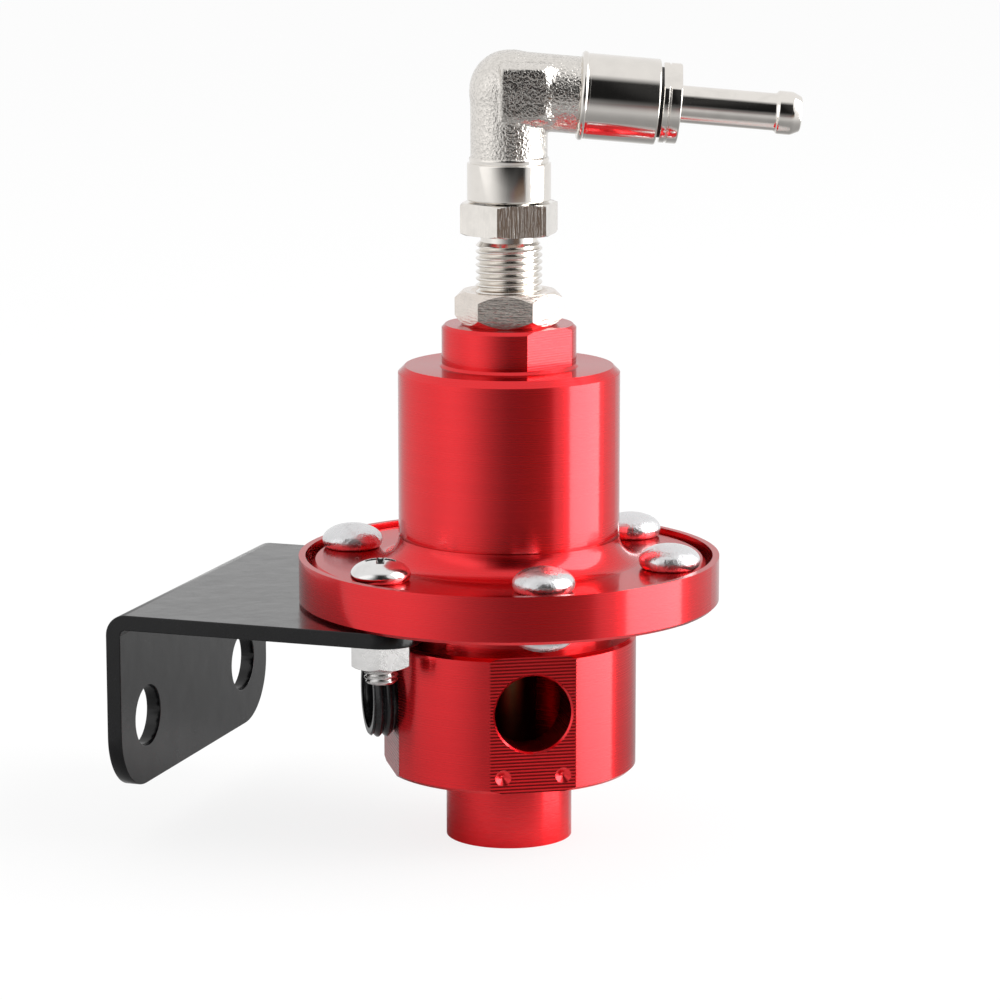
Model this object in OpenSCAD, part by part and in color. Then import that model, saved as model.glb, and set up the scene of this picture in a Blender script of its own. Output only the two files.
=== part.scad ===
// Adjustable return style fuel pressure regulator with a vacuum elbow and a mounting bracket.
// The origin is the centre of the boss face at the mouth of the return port, +Z runs up the body,
// and the bracket's upright leg faces -X.

/* [Lower body] */
// Diameter of the boss round the return port
boss_d = 18.9; // [17:0.1:22]
// Length of the boss below the body
boss_len = 10.8; // [10:0.1:14]
// Room between the body and the corners of the bracket nuts
nut_room = 1.05; // [0.6:0.02:2]
// Length of the body
body_len = 20.4; // [20:0.1:26]
// Diameter of the waist between body and flange
waist_d = 31; // [28:0.1:33]
// Length of the waist
waist_len = 4.8; // [4.4:0.1:8]
// Outside diameter of the flange cup
cup_d = 62.9; // [62.5:0.1:68]
// Thickness of the cup floor
cup_floor = 2.8; // [2.4:0.1:4]
// Height of the rim above the cup floor
rim_h = 4.3; // [2:0.1:5]
// Wall of the rim
rim_wall = 1.0; // [0.6:0.1:1.5]
// Small chamfer on turned edges
edge_break = 0.5; // [0.2:0.1:0.8]

/* [Ports] */
// Bore of the tapped ports
port_d = 11.45; // [10:0.05:12]
// Height of the side port axes above the underside of the body
port_lift = 11.8; // [9:0.1:13]
// Depth of the milled port flats
flat_depth = 1.1; // [0.6:0.1:2]
// Width of the countersink at the side port mouths
port_countersink = 0.3; // [0.1:0.05:0.5]
// Direction of the open inlet port
inlet_angle = 300; // [290:1:310]
// Direction of the plugged port
plug_angle = 210; // [200:1:220]
// Depth of the return port
return_depth = 8.8; // [7:0.1:10]
// Diameter of the fuel chamber
chamber_d = 23; // [22.6:0.1:25]
// Web between the return port and the fuel chamber
web_t = 5; // [3:0.1:6]
// Spacing of the two drill dimples beside the inlet port
dimple_gap = 9; // [8:0.1:10]
// Mouth diameter of a drill dimple
dimple_d = 2.4; // [1.5:0.1:2.6]
// Height of the dimples above the underside of the body
dimple_lift = 2.4; // [1.8:0.1:3.2]

/* [Bonnet] */
// Gap between the bonnet flange and the rim
bonnet_gap = 1.0; // [0.5:0.1:1.5]
// Thickness of the bonnet flange
bonnet_flange = 2.7; // [2.4:0.1:4]
// Diameter of the spring barrel
barrel_d = 33; // [32:0.1:35]
// Length of the barrel above its foot groove
barrel_len = 25; // [24:0.1:30]
// Gap between the barrel's flare and the rivet heads
flare_gap = 0.45; // [0.3:0.05:1]
// Width and depth of the foot groove
foot_groove = 0.5; // [0.3:0.1:0.7]
// Chamfer on top of the barrel
barrel_chamfer = 1.0; // [0.5:0.1:1.5]
// Bore of the spring chamber
spring_bore = 26.4; // [25.5:0.1:27]
// Thickness of the barrel's end wall
end_wall = 4.6; // [4:0.1:5]
// Diameter of the stem neck
neck_d = 20; // [19:0.1:22]
// Length of the stem neck
neck_len = 6.2; // [5:0.1:8]
// Width over the spanner flats of the neck
neck_flats = 18; // [17:0.1:18.5]
// Direction of the spanner flats
neck_angle = 330; // [320:1:340]
// Width of the fillet ring at the foot of the neck
neck_foot = 0.4; // [0.2:0.05:0.6]
// Height of the step left under the spanner flats
neck_step = 0.5; // [0.3:0.1:1]

/* [Diaphragm and valve] */
// Thickness of the diaphragm
diaphragm_t = 1.0; // [0.6:0.1:1.4]
// Diameter of the free part of the diaphragm
dish_d = 35; // [34.6:0.1:36]
// Depth of the dish under the diaphragm
dish_depth = 1.6; // [1.5:0.1:1.8]
// Depth of the dish above the diaphragm
top_dish = 2.6; // [2.3:0.1:2.8]
// Section radius of the diaphragm's rolled bead
bead_r = 2.2; // [1.8:0.1:2.3]
// Radius of the circle that the rolled bead follows
bead_circle = 14.4; // [14.3:0.1:14.8]
// Diameter of the plates on the diaphragm
plate_d = 22; // [21:0.1:22.4]
// Thickness of the plates on the diaphragm
plate_t = 1.2; // [0.8:0.1:1.5]
// Diameter of the stud that clamps the diaphragm
stud_d = 4; // [3:0.1:5]
// Width over flats of the stud nut
stud_nut_af = 7; // [6:0.1:8]
// Height of the stud nut
stud_nut_h = 2.6; // [2:0.1:3.2]
// Diameter of the valve disc
valve_d = 8.4; // [8.2:0.1:9]
// Thickness of the valve disc
valve_t = 1.2; // [0.9:0.1:1.6]
// Outside diameter of the return seat tube
seat_d = 8; // [7:0.1:8.2]
// Bore of the return seat tube
seat_bore = 4.4; // [3.5:0.1:5]

/* [Spring and stem] */
// Wire of the pressure spring
wire_d = 2.6; // [2:0.1:2.8]
// Mean diameter of the pressure spring
coil_d = 20; // [19:0.1:20.5]
// Turns of the pressure spring
coil_turns = 4.5; // [3:0.5:5]
// Length of the pressure spring as set
spring_len = 19.5; // [18:0.1:19.8]
// Thickness of the plate under the stem
spring_seat_t = 3; // [2:0.1:3.2]
// Thread diameter of the stem
thread_d = 9.9; // [9:0.1:10.2]
// Radial clearance of the stem in its threads
stem_clear = 0.05; // [0.03:0.01:0.1]
// Air bore through the stem
air_bore = 3.2; // [2:0.1:3.6]
// Width over flats of the lock nut
lock_nut_af = 14; // [13.5:0.1:16]
// Height of the lock nut
lock_nut_h = 5; // [4:0.1:6]
// Chamfer at the lock nut's corners
lock_nut_lead = 1.2; // [0.6:0.1:1.6]
// Width of the countersinks at the lock nut's ends
nut_countersink = 0.7; // [0.3:0.1:1]
// Direction of a lock nut corner
lock_nut_turn = 14; // [0:1:59]
// Thread showing between the lock nut and the stem hex
thread_show = 8.4; // [5:0.1:10]
// Width over flats of the stem hex
stem_hex_af = 13; // [12:0.1:14]
// Height of the stem hex
stem_hex_h = 4.7; // [4:0.1:6]
// Chamfer at the corners of the stem's hex
stem_hex_lead = 0.3; // [0.2:0.1:1]
// Direction of a stem hex corner
stem_hex_turn = 35; // [0:1:59]
// Diameter of the swivel spigot
spigot_d = 7.2; // [6.6:0.1:7.4]
// Length of the swivel spigot
spigot_len = 10; // [9.4:0.1:10.4]

/* [Elbow] */
// Gap between the stem hex and the elbow
swivel_gap = 0.2; // [0.1:0.05:0.4]
// Diameter of the turned collar at the swivel
collar_d = 12.4; // [12:0.1:13.4]
// Length of the turned collar
collar_len = 5.6; // [4:0.1:7]
// Chamfer on the edges of the collar and the socket
elbow_edge = 0.35; // [0.2:0.05:0.6]
// Diameter of the forged tubes
tube_d = 11.35; // [11:0.05:12]
// Height of the arm axis above the foot of the elbow
arm_rise = 16.3; // [15.8:0.1:18]
// Direction that the arm points in
arm_heading = 20; // [0:1:359]
// Droop of the arm below level
arm_droop = 5; // [0:0.5:8]
// Distance along the arm to the socket bead
socket_start = 10.8; // [10:0.1:12]
// Length of the socket after its bead
socket_len = 11.1; // [9:0.1:13]
// Diameter of the socket
socket_d = 12.6; // [12.2:0.1:13.4]
// Section radius of the socket bead
socket_bead_r = 0.5; // [0.3:0.05:0.7]
// Size of the square pads along the arm
pad_w = 6.8; // [6:0.1:8]
// Size of the square pads across the arm
pad_h = 7.4; // [6:0.1:8.4]
// Height of the pad faces over the tube
pad_proud = 0.15; // [0.1:0.05:0.4]
// Distance of the pads from the stem axis
pad_shift = 2.05; // [1:0.05:3]
// Drop of the pads below the arm axis
pad_drop = 0.35; // [0:0.05:1]
// Swell of the forged corner over the tubes
corner_swell = 0.12; // [0.1:0.02:0.4]

/* [Hose tail] */
// Diameter of the hose tail collar
tail_collar_d = 11.8; // [11:0.1:12.4]
// Length of the hose tail collar
tail_collar_len = 2.7; // [2:0.1:4]
// Width over the collar's spanner flats
tail_flats = 10.4; // [9.5:0.1:11]
// Thickness of the seal under the collar
tail_seal_t = 0.45; // [0.3:0.05:0.8]
// Diameter of the spigot in the elbow socket
tail_spigot_d = 9; // [8:0.1:9.6]
// Length of the spigot in the elbow socket
tail_spigot_len = 6; // [4:0.1:7]
// Outside diameter of the hose tube
hose_tube_d = 5.5; // [5:0.1:6]
// Length of the hose tube
hose_tube_len = 14.5; // [10:0.1:18]
// Diameter of the hose bead
hose_bead_d = 6.35; // [6.2:0.05:7]
// Length of the hose bead
hose_bead_len = 2.1; // [1.5:0.1:3]
// Length of the slope behind the hose bead
hose_bead_slope = 0.3; // [0.2:0.05:0.6]
// Length of the lead cone at the end
hose_lead_len = 1.35; // [1:0.05:2]
// Step of the lead cone's end below the hose tube
hose_lead_step = 0.2; // [0.1:0.05:0.5]
// Bore of the hose tail
hose_bore = 3; // [2:0.1:3.4]

/* [Fasteners] */
// Distance from the edge of the bonnet in to the circle of flange holes
hole_margin = 4.45; // [4.45:0.05:5]
// Diameter of the flange rivets and screws
fastener_d = 5; // [4:0.1:5]
// Clearance of the flange holes on the diameter
hole_clear = 0.3; // [0.2:0.05:0.5]
// Diameter of the rivet domes
rivet_head_d = 8.9; // [8:0.1:8.9]
// Height of the rivet domes
rivet_head_h = 3.6; // [2:0.1:4]
// Height of the rivet feet under the flange
rivet_foot_h = 2.3; // [1.5:0.1:3]
// Diameter of the screw heads
screw_head_d = 8.9; // [8:0.1:9]
// Height of the screw heads
screw_head_h = 3.2; // [2.4:0.1:3.6]
// Length of screw that shows below its nut
screw_tail = 2.5; // [0.5:0.1:3]
// Width over flats of the screw nuts
nut_af = 8.4; // [7.5:0.1:8.6]
// Height of the screw nuts
nut_h = 4; // [3:0.1:5]
// Direction of a nut corner
nut_turn = 48; // [0:1:59]

/* [Bracket] */
// Sheet thickness of the bracket
sheet_t = 2.3; // [1.6:0.1:3]
// Width of the bracket
bracket_w = 57.4; // [54:0.1:62]
// Distance from the body axis to the outer face of the leg
bracket_reach = 53.2; // [46:0.1:58]
// Height of the leg, bend included
bracket_drop = 27.7; // [26:0.1:32]
// Outside radius of the bend
bend_r = 3.2; // [3.1:0.1:4]
// Radius of the leg's lower corners
leg_corner_r = 9; // [5:0.1:11]
// Radius of the ear corners
ear_corner_r = 5.5; // [3:0.1:6.5]
// Distance from the body axis to the ends of the ears
ear_end = 6; // [5:0.1:7]
// Diameter of the two mounting holes
mount_hole_d = 9.2; // [8:0.1:10]
// Spacing of the two mounting holes
mount_spacing = 37.6; // [34:0.1:40]
// Depth of the mounting holes below the top of the bracket
mount_drop = 17.4; // [15:0.1:19]
// Clearance of the fork round the waist and the rivet
fork_clear = 0.8; // [0.5:0.1:1.2]

/* [Port plug] */
// Diameter of the plug outside the port
plug_d = 13.2; // [12.6:0.1:13.6]
// Length of plug outside the port
plug_proud = 3.6; // [2:0.1:5]
// Length of plug inside the port
plug_depth = 5.6; // [4:0.1:6]
// Bore of the hollow plug
plug_bore = 9.4; // [8:0.1:9.8]
// Thickness of the plug's inner end
plug_end_t = 1.2; // [0.8:0.1:2]
// Chamfer at the mouth of the plug
plug_chamfer = 0.9; // [0.4:0.1:1]

/* [Hidden] */
$fn = 96;

// Colours of the real finishes
red_anodised = [0.72, 0.07, 0.10];
nickel = [0.78, 0.77, 0.74];
bright_zinc = [0.74, 0.74, 0.75];
plain_aluminium = [0.66, 0.66, 0.66];
brass = [0.78, 0.62, 0.30];
spring_steel = [0.45, 0.45, 0.47];
black_paint = [0.06, 0.06, 0.065];
black_rubber = [0.05, 0.05, 0.05];

// Length by which a cutter runs past the face it cuts
over = 1;
// Clearance of pieces that sit in each other without moving
seat_clear = 0.05;
// Clearance of pieces that slide past each other
slide_clear = 0.3;
// Chamfer at the corners of the small nuts
nut_lead = 0.5;

// Radii
boss_r = boss_d / 2;
waist_r = waist_d / 2;
cup_r = cup_d / 2;
port_r = port_d / 2;
chamber_r = chamber_d / 2;
dish_r = dish_d / 2;
bonnet_r = cup_r - rim_wall - bonnet_gap;
hole_circle = bonnet_r - hole_margin;
body_r = hole_circle - nut_af / sqrt(3) - nut_room;
flat_reach = body_r - flat_depth;
barrel_r = barrel_d / 2;
flare_r = hole_circle - rivet_head_d / 2 - flare_gap - barrel_r;
neck_r = neck_d / 2;
thread_r = thread_d / 2;
spigot_r = spigot_d / 2;
tube_r = tube_d / 2;
plate_r = plate_d / 2;
hole_r = (fastener_d + hole_clear) / 2;

// Heights from the boss face up to the lock nut
body_z = boss_len;
body_top_z = body_z + body_len;
flange_z = body_top_z + waist_len;
cup_floor_z = flange_z + cup_floor;
rim_z = cup_floor_z + rim_h;
port_z = body_z + port_lift;
chamber_z = return_depth + web_t;
bonnet_z = cup_floor_z + diaphragm_t;
bonnet_flange_z = bonnet_z + bonnet_flange;
foot_z = bonnet_flange_z + flare_r;
barrel_z = foot_z + foot_groove + barrel_len;
neck_z = barrel_z + neck_len;
spring_roof_z = barrel_z - end_wall;

// Heights of the valve and spring stack
holder_z = cup_floor_z - plate_t;
valve_z = holder_z - valve_t;
spring_z = bonnet_z + plate_t;
spring_top_z = spring_z + spring_len;
stem_tip_z = spring_top_z + spring_seat_t;

// Heights of the stem and the elbow
lock_nut_z = neck_z;
stem_hex_z = lock_nut_z + lock_nut_h + thread_show;
spigot_z = stem_hex_z + stem_hex_h;
elbow_z = spigot_z + swivel_gap;
arm_z = elbow_z + arm_rise;

// Distances along the arm
socket_end = socket_start + socket_len;
tail_collar_at = socket_end + tail_seal_t;
hose_tube_at = tail_collar_at + tail_collar_len;
hose_bead_at = hose_tube_at + hose_tube_len;
hose_lead_at = hose_bead_at + hose_bead_len;

// Directions of the flange holes: the screws hold the bracket, the rivets fill the rest
screw_angles = [120, 240];
rivet_angles = [0, 60, 180, 300];

// Sizes of the snap ring and the seal ring on the swivel spigot
swivel_seal_r = 0.6;
swivel_seal_lift = 2.6;
clip_lift = 6.8;
clip_t = 1;
clip_bite = 0.6;

// Seal ring under the lock nut
stem_seal_r = 0.6;
stem_seal_circle = thread_r + stem_seal_r + slide_clear / 2;

// Places the children on a circle round the body axis
module at_angle(radius, angle, z = 0) {
    translate([radius * cos(angle), radius * sin(angle), z]) children();
}

// Turns +X of the children to the axis of a side port
module on_port(angle) {
    translate([0, 0, port_z]) rotate(angle) children();
}

// Lays +Z of the children along the elbow arm
module on_arm() {
    translate([0, 0, arm_z]) rotate([0, 90 + arm_droop, arm_heading]) children();
}

// Round tube
module tube(outer_r, inner_r, length) {
    difference() {
        cylinder(r = outer_r, h = length);
        translate([0, 0, -over]) cylinder(r = inner_r, h = length + 2 * over);
    }
}

// Hexagon prism whose ends are chamfered by cones that take lead off each corner
module hex_prism(across, height, lead) {
    corner_r = across / sqrt(3);
    end_r = across / 2 - lead / 10;
    intersection() {
        cylinder(r = corner_r, h = height, $fn = 6);
        rotate_extrude() polygon([
            [0, 0], [end_r, 0], [corner_r, lead], [corner_r, height - lead], [end_r, height], [0, height]
        ]);
    }
}

// Dome that rises from z = 0, cut from a sphere
module dome(radius, height) {
    ball_r = (radius * radius + height * height) / (2 * height);
    rotate_extrude() intersection() {
        translate([0, height - ball_r]) circle(r = ball_r);
        square([radius, height]);
    }
}

// Seal ring of round section
module o_ring(circle_r, section_r) {
    rotate_extrude() translate([circle_r, 0]) circle(r = section_r, $fn = 32);
}

// Rectangle with round corners, centred
module round_rect(width, height, corner) {
    square([width - 2 * corner, height], center = true);
    square([width, height - 2 * corner], center = true);
    for (x = [-1, 1], y = [-1, 1])
        translate([x * (width / 2 - corner), y * (height / 2 - corner)]) circle(r = corner);
}

// Scrap outside a round corner whose sharp corner is at the origin
module corner_scrap(radius) {
    difference() {
        translate([-over, -over]) square(radius + over);
        translate([radius, radius]) circle(r = radius);
    }
}

// Section of the turned lower body, bored through for the return seat
module lower_body_section() {
    polygon([
        [port_r, 0], [boss_r, 0], [boss_r, body_z],
        [body_r - edge_break, body_z], [body_r, body_z + edge_break],
        [body_r, body_top_z - edge_break], [body_r - edge_break, body_top_z],
        [waist_r, body_top_z], [waist_r, flange_z],
        [cup_r - edge_break, flange_z], [cup_r, flange_z + edge_break],
        [cup_r, rim_z], [cup_r - rim_wall, rim_z], [cup_r - rim_wall, cup_floor_z],
        [dish_r, cup_floor_z], [dish_r, cup_floor_z - dish_depth],
        [chamber_r, cup_floor_z - dish_depth], [chamber_r, chamber_z],
        [seat_d / 2 + seat_clear, chamber_z], [seat_d / 2 + seat_clear, return_depth],
        [port_r, return_depth]
    ]);
}

// Milled flat on one side of the body
module port_flat() {
    translate([flat_reach, -body_r, -port_lift - over])
        cube([body_r, 2 * body_r, body_len + 2 * over]);
}

// Side port from the flat into the fuel chamber, with a countersunk mouth
module side_port() {
    rotate([0, 90, 0]) cylinder(r = port_r, h = body_r);
    translate([flat_reach - port_countersink, 0, 0]) rotate([0, 90, 0])
        cylinder(r1 = port_r, r2 = port_r + port_countersink + over, h = port_countersink + over);
}

// Shallow drill point mark beside the inlet port
module drill_dimple() {
    depth = dimple_d / 3;
    translate([flat_reach - depth, 0, 0]) rotate([0, 90, 0])
        cylinder(r1 = 0, r2 = dimple_d, h = 2 * depth);
}

module lower_body() {
    color(red_anodised) difference() {
        rotate_extrude() lower_body_section();
        for (angle = [inlet_angle, plug_angle]) on_port(angle) {
            port_flat();
            side_port();
        }
        for (side = [-1, 1])
            on_port(inlet_angle)
                translate([0, side * dimple_gap / 2, dimple_lift - port_lift]) drill_dimple();
        for (angle = concat(screw_angles, rivet_angles))
            at_angle(hole_circle, angle, flange_z - over)
                cylinder(r = hole_r, h = cup_floor + 2 * over);
    }
}

// Section of the turned bonnet with its spring chamber and stem bore
module bonnet_section() {
    stem_bore_r = thread_r + stem_clear;
    seal_pocket_r = stem_seal_circle + stem_seal_r + seat_clear;
    seal_pocket_z = neck_z - 2 * stem_seal_r - seat_clear;
    polygon([
        [dish_r, bonnet_z], [bonnet_r - edge_break, bonnet_z], [bonnet_r, bonnet_z + edge_break],
        [bonnet_r, bonnet_flange_z - edge_break], [bonnet_r - edge_break, bonnet_flange_z],
        [barrel_r, bonnet_flange_z], [barrel_r, foot_z],
        [barrel_r - foot_groove, foot_z], [barrel_r - foot_groove, foot_z + foot_groove],
        [barrel_r, foot_z + foot_groove], [barrel_r, barrel_z - barrel_chamfer],
        [barrel_r - barrel_chamfer, barrel_z],
        [neck_r + neck_foot, barrel_z], [neck_r, barrel_z + neck_foot],
        [neck_r, neck_z - edge_break], [neck_r - edge_break, neck_z],
        [seal_pocket_r, neck_z], [seal_pocket_r, seal_pocket_z], [stem_bore_r, seal_pocket_z],
        [stem_bore_r, spring_roof_z], [spring_bore / 2, spring_roof_z],
        [spring_bore / 2, bonnet_z + top_dish], [dish_r, bonnet_z + top_dish]
    ]);
    difference() {
        translate([barrel_r, bonnet_flange_z]) square(flare_r);
        translate([barrel_r + flare_r, bonnet_flange_z + flare_r]) circle(r = flare_r);
    }
}

module bonnet() {
    color(red_anodised) difference() {
        rotate_extrude() bonnet_section();
        for (side = [0, 180])
            rotate(neck_angle + side)
                translate([neck_flats / 2, -neck_r, barrel_z + neck_step])
                    cube([neck_r, neck_d, neck_len]);
        for (angle = concat(screw_angles, rivet_angles))
            at_angle(hole_circle, angle, bonnet_z - over)
                cylinder(r = hole_r, h = bonnet_flange + 2 * over);
    }
}

// Flat clamped disc with a rolled bead round the plates
module diaphragm() {
    bead_inner_r = bead_r - diaphragm_t;
    color(black_rubber) difference() {
        rotate_extrude() {
            translate([stud_d / 2 + seat_clear, cup_floor_z])
                square([bead_circle - bead_inner_r - stud_d / 2 - seat_clear, diaphragm_t]);
            translate([bead_circle + bead_inner_r, cup_floor_z])
                square([bonnet_r - bead_circle - bead_inner_r, diaphragm_t]);
            translate([bead_circle, cup_floor_z]) intersection() {
                difference() {
                    circle(r = bead_r);
                    circle(r = bead_inner_r);
                }
                translate([-bead_r, 0]) square([2 * bead_r, bead_r]);
            }
        }
        for (angle = concat(screw_angles, rivet_angles))
            at_angle(hole_circle, angle, cup_floor_z - over)
                cylinder(r = hole_r, h = diaphragm_t + 2 * over);
    }
}

// Lower plate with the pocket for the valve disc below it and the stud above it
module valve_holder() {
    pocket_r = valve_d / 2 + seat_clear;
    pocket_wall = 1.6;
    pocket_z = holder_z - 0.8 * valve_t;
    stud_show = 0.4;
    stud_top_z = spring_z + stud_nut_h + stud_show;
    color(nickel) rotate_extrude() polygon([
        [0, holder_z], [pocket_r, holder_z], [pocket_r, pocket_z],
        [pocket_r + pocket_wall, pocket_z], [pocket_r + pocket_wall, holder_z],
        [plate_r, holder_z], [plate_r, cup_floor_z], [stud_d / 2, cup_floor_z],
        [stud_d / 2, stud_top_z], [0, stud_top_z]
    ]);
}

module valve_disc() {
    color(spring_steel) translate([0, 0, valve_z]) cylinder(d = valve_d, h = valve_t);
}

// Upper plate with a raised ring that centres the spring
module spring_cup() {
    pilot_r = (coil_d - wire_d) / 2 - slide_clear;
    pilot_wall = 1.8;
    pilot_h = 2;
    color(nickel) translate([0, 0, bonnet_z]) {
        tube(plate_r + slide_clear, stud_d / 2 + seat_clear, plate_t);
        translate([0, 0, plate_t]) tube(pilot_r, pilot_r - pilot_wall, pilot_h);
    }
}

module stud_nut() {
    color(bright_zinc) translate([0, 0, spring_z]) difference() {
        hex_prism(stud_nut_af, stud_nut_h, nut_lead);
        translate([0, 0, -over]) cylinder(r = stud_d / 2 + seat_clear, h = stud_nut_h + 2 * over);
    }
}

// Tube in the web whose upper end is the valve seat
module return_seat() {
    lip = 0.6;
    color(brass) rotate_extrude() polygon([
        [seat_bore / 2, return_depth], [seat_d / 2, return_depth], [seat_d / 2, valve_z - lip],
        [seat_d / 2 - lip, valve_z], [seat_bore / 2, valve_z]
    ]);
}

// Helical spring swept as one tube with flat ends
module main_spring() {
    steps_per_turn = 20;
    sides = 8;
    rings = floor(coil_turns * steps_per_turn);
    rise = spring_len - wire_d;
    points = [
        for (i = [0 : rings], k = [0 : sides - 1])
            let (turn = 360 * coil_turns * i / rings, around = 360 * k / sides,
                 radius = (coil_d + wire_d * cos(around)) / 2)
            [radius * cos(turn), radius * sin(turn),
             spring_z + wire_d / 2 + rise * i / rings + wire_d / 2 * sin(around)]
    ];
    walls = [
        for (i = [0 : rings - 1], k = [0 : sides - 1])
            let (a = i * sides + k, b = i * sides + (k + 1) % sides)
            [a, b, b + sides, a + sides]
    ];
    first_end = [for (k = [sides - 1 : -1 : 0]) k];
    last_end = [for (k = [0 : sides - 1]) rings * sides + k];
    color(spring_steel) polyhedron(points, concat(walls, [first_end, last_end]));
}

// Plate that the stem pushes on, with a pilot inside the spring
module spring_seat() {
    pilot_r = (coil_d - wire_d) / 2 - slide_clear;
    pilot_h = 2;
    color(nickel) translate([0, 0, spring_top_z]) {
        cylinder(r = plate_r + slide_clear, h = spring_seat_t);
        translate([0, 0, -pilot_h]) cylinder(r = pilot_r, h = pilot_h);
    }
}

// Hollow stem: slotted tip, thread, hex and swivel spigot with its two grooves
module adjusting_stem() {
    tip_lead = 0.8;
    relief = 0.8;
    slot_w = 2;
    seal_z = elbow_z + swivel_seal_lift;
    clip_z = elbow_z + clip_lift;
    groove_r = spigot_r - clip_bite;
    seal_groove_r = spigot_r - 2 * (swivel_seal_r + seat_clear);
    seal_groove_w = swivel_seal_r + slide_clear / 2;
    color(nickel) difference() {
        union() {
            rotate_extrude() polygon([
                [0, stem_tip_z], [thread_r - tip_lead, stem_tip_z], [thread_r, stem_tip_z + tip_lead],
                [thread_r, stem_hex_z - 2 * relief], [thread_r - relief, stem_hex_z - relief],
                [thread_r - relief, stem_hex_z], [spigot_r, stem_hex_z],
                [spigot_r, seal_z - seal_groove_w], [seal_groove_r, seal_z - seal_groove_w],
                [seal_groove_r, seal_z + seal_groove_w], [spigot_r, seal_z + seal_groove_w],
                [spigot_r, clip_z], [groove_r, clip_z], [groove_r, clip_z + clip_t + seat_clear],
                [spigot_r, clip_z + clip_t + seat_clear], [spigot_r, spigot_z + spigot_len - tip_lead],
                [spigot_r - tip_lead, spigot_z + spigot_len], [0, spigot_z + spigot_len]
            ]);
            translate([0, 0, stem_hex_z]) rotate(stem_hex_turn) hex_prism(stem_hex_af, stem_hex_h, stem_hex_lead);
        }
        translate([0, 0, stem_tip_z - over])
            cylinder(d = air_bore, h = spigot_z + spigot_len - stem_tip_z + 2 * over);
        translate([-thread_r, -slot_w / 2, stem_tip_z - over]) cube([thread_d, slot_w, over + slot_w]);
    }
}

module stem_seal() {
    color(black_rubber) translate([0, 0, neck_z - stem_seal_r - seat_clear / 2])
        o_ring(stem_seal_circle, stem_seal_r);
}

module lock_nut() {
    bore_r = thread_r + stem_clear;
    color(nickel) translate([0, 0, lock_nut_z]) difference() {
        rotate(lock_nut_turn) hex_prism(lock_nut_af, lock_nut_h, lock_nut_lead);
        rotate_extrude() polygon([
            [0, -over], [bore_r + nut_countersink + over, -over], [bore_r, nut_countersink],
            [bore_r, lock_nut_h - nut_countersink],
            [bore_r + nut_countersink + over, lock_nut_h + over], [0, lock_nut_h + over]
        ]);
    }
}

// Turned drum with both edges chamfered
module drum(diameter, length, chamfer) {
    radius = diameter / 2;
    rotate_extrude() polygon([
        [0, 0], [radius - chamfer, 0], [radius, chamfer], [radius, length - chamfer],
        [radius - chamfer, length], [0, length]
    ]);
}

// Solid form of the elbow: collar, two forged tubes, ball corner, pads, bead and socket
module elbow_form() {
    pad_corner = 1;
    translate([0, 0, elbow_z]) {
        drum(collar_d, collar_len, elbow_edge);
        cylinder(r = tube_r, h = arm_rise);
    }
    translate([0, 0, arm_z]) {
        sphere(r = tube_r + corner_swell);
        rotate(arm_heading) translate([pad_shift, tube_r + pad_proud, -pad_drop]) rotate([90, 0, 0])
            linear_extrude(2 * (tube_r + pad_proud)) round_rect(pad_w, pad_h, pad_corner);
    }
    on_arm() {
        cylinder(r = tube_r, h = socket_start);
        translate([0, 0, socket_start]) {
            o_ring(socket_d / 2 - socket_bead_r / 2, socket_bead_r);
            drum(socket_d, socket_len, elbow_edge);
        }
    }
}

module swivel_elbow() {
    spigot_room = spigot_len - swivel_gap + slide_clear;
    tail_bore_r = tail_spigot_d / 2 + seat_clear;
    clip_pocket_r = spigot_r + clip_bite;
    color(nickel) difference() {
        elbow_form();
        translate([0, 0, elbow_z - over]) cylinder(r = spigot_r + seat_clear, h = spigot_room + over);
        translate([0, 0, elbow_z + clip_lift]) cylinder(r = clip_pocket_r, h = clip_t + seat_clear);
        translate([0, 0, elbow_z]) cylinder(d = air_bore, h = arm_rise + hose_bore);
        on_arm() {
            cylinder(d = hose_bore, h = socket_end);
            translate([0, 0, socket_end - tail_spigot_len - seat_clear])
                cylinder(r = tail_bore_r, h = tail_spigot_len + over);
        }
    }
}

module swivel_seal() {
    color(black_rubber) translate([0, 0, elbow_z + swivel_seal_lift])
        o_ring(spigot_r - swivel_seal_r, swivel_seal_r);
}

// Split ring that holds the elbow on the stem
module swivel_clip() {
    clip_gap = 2;
    color(spring_steel) translate([0, 0, elbow_z + clip_lift + seat_clear / 2]) difference() {
        tube(spigot_r + clip_bite - seat_clear, spigot_r - clip_bite + seat_clear, clip_t);
        translate([0, -clip_gap / 2, -over]) cube([spigot_d, clip_gap, clip_t + 2 * over]);
    }
}

// Turned hose tail with a collar, two spanner flats, a bead and a lead cone
module hose_barb() {
    tube_r_out = hose_tube_d / 2;
    bead_edge_r = hose_bead_d / 2;
    lead_r = tube_r_out - hose_lead_step;
    flats_turn = 35;
    color(nickel) on_arm() difference() {
        rotate_extrude() polygon([
            [hose_bore / 2, socket_end - tail_spigot_len],
            [tail_spigot_d / 2, socket_end - tail_spigot_len],
            [tail_spigot_d / 2, tail_collar_at], [tail_collar_d / 2, tail_collar_at],
            [tail_collar_d / 2, hose_tube_at], [tube_r_out, hose_tube_at],
            [tube_r_out, hose_bead_at - hose_bead_slope], [bead_edge_r, hose_bead_at],
            [bead_edge_r, hose_lead_at],
            [lead_r, hose_lead_at + hose_lead_len], [hose_bore / 2, hose_lead_at + hose_lead_len]
        ]);
        for (side = [0, 180])
            rotate(flats_turn + side)
                translate([tail_flats / 2, -tail_collar_d / 2, tail_collar_at])
                    cube([tail_collar_d, tail_collar_d, tail_collar_len]);
    }
}

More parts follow.
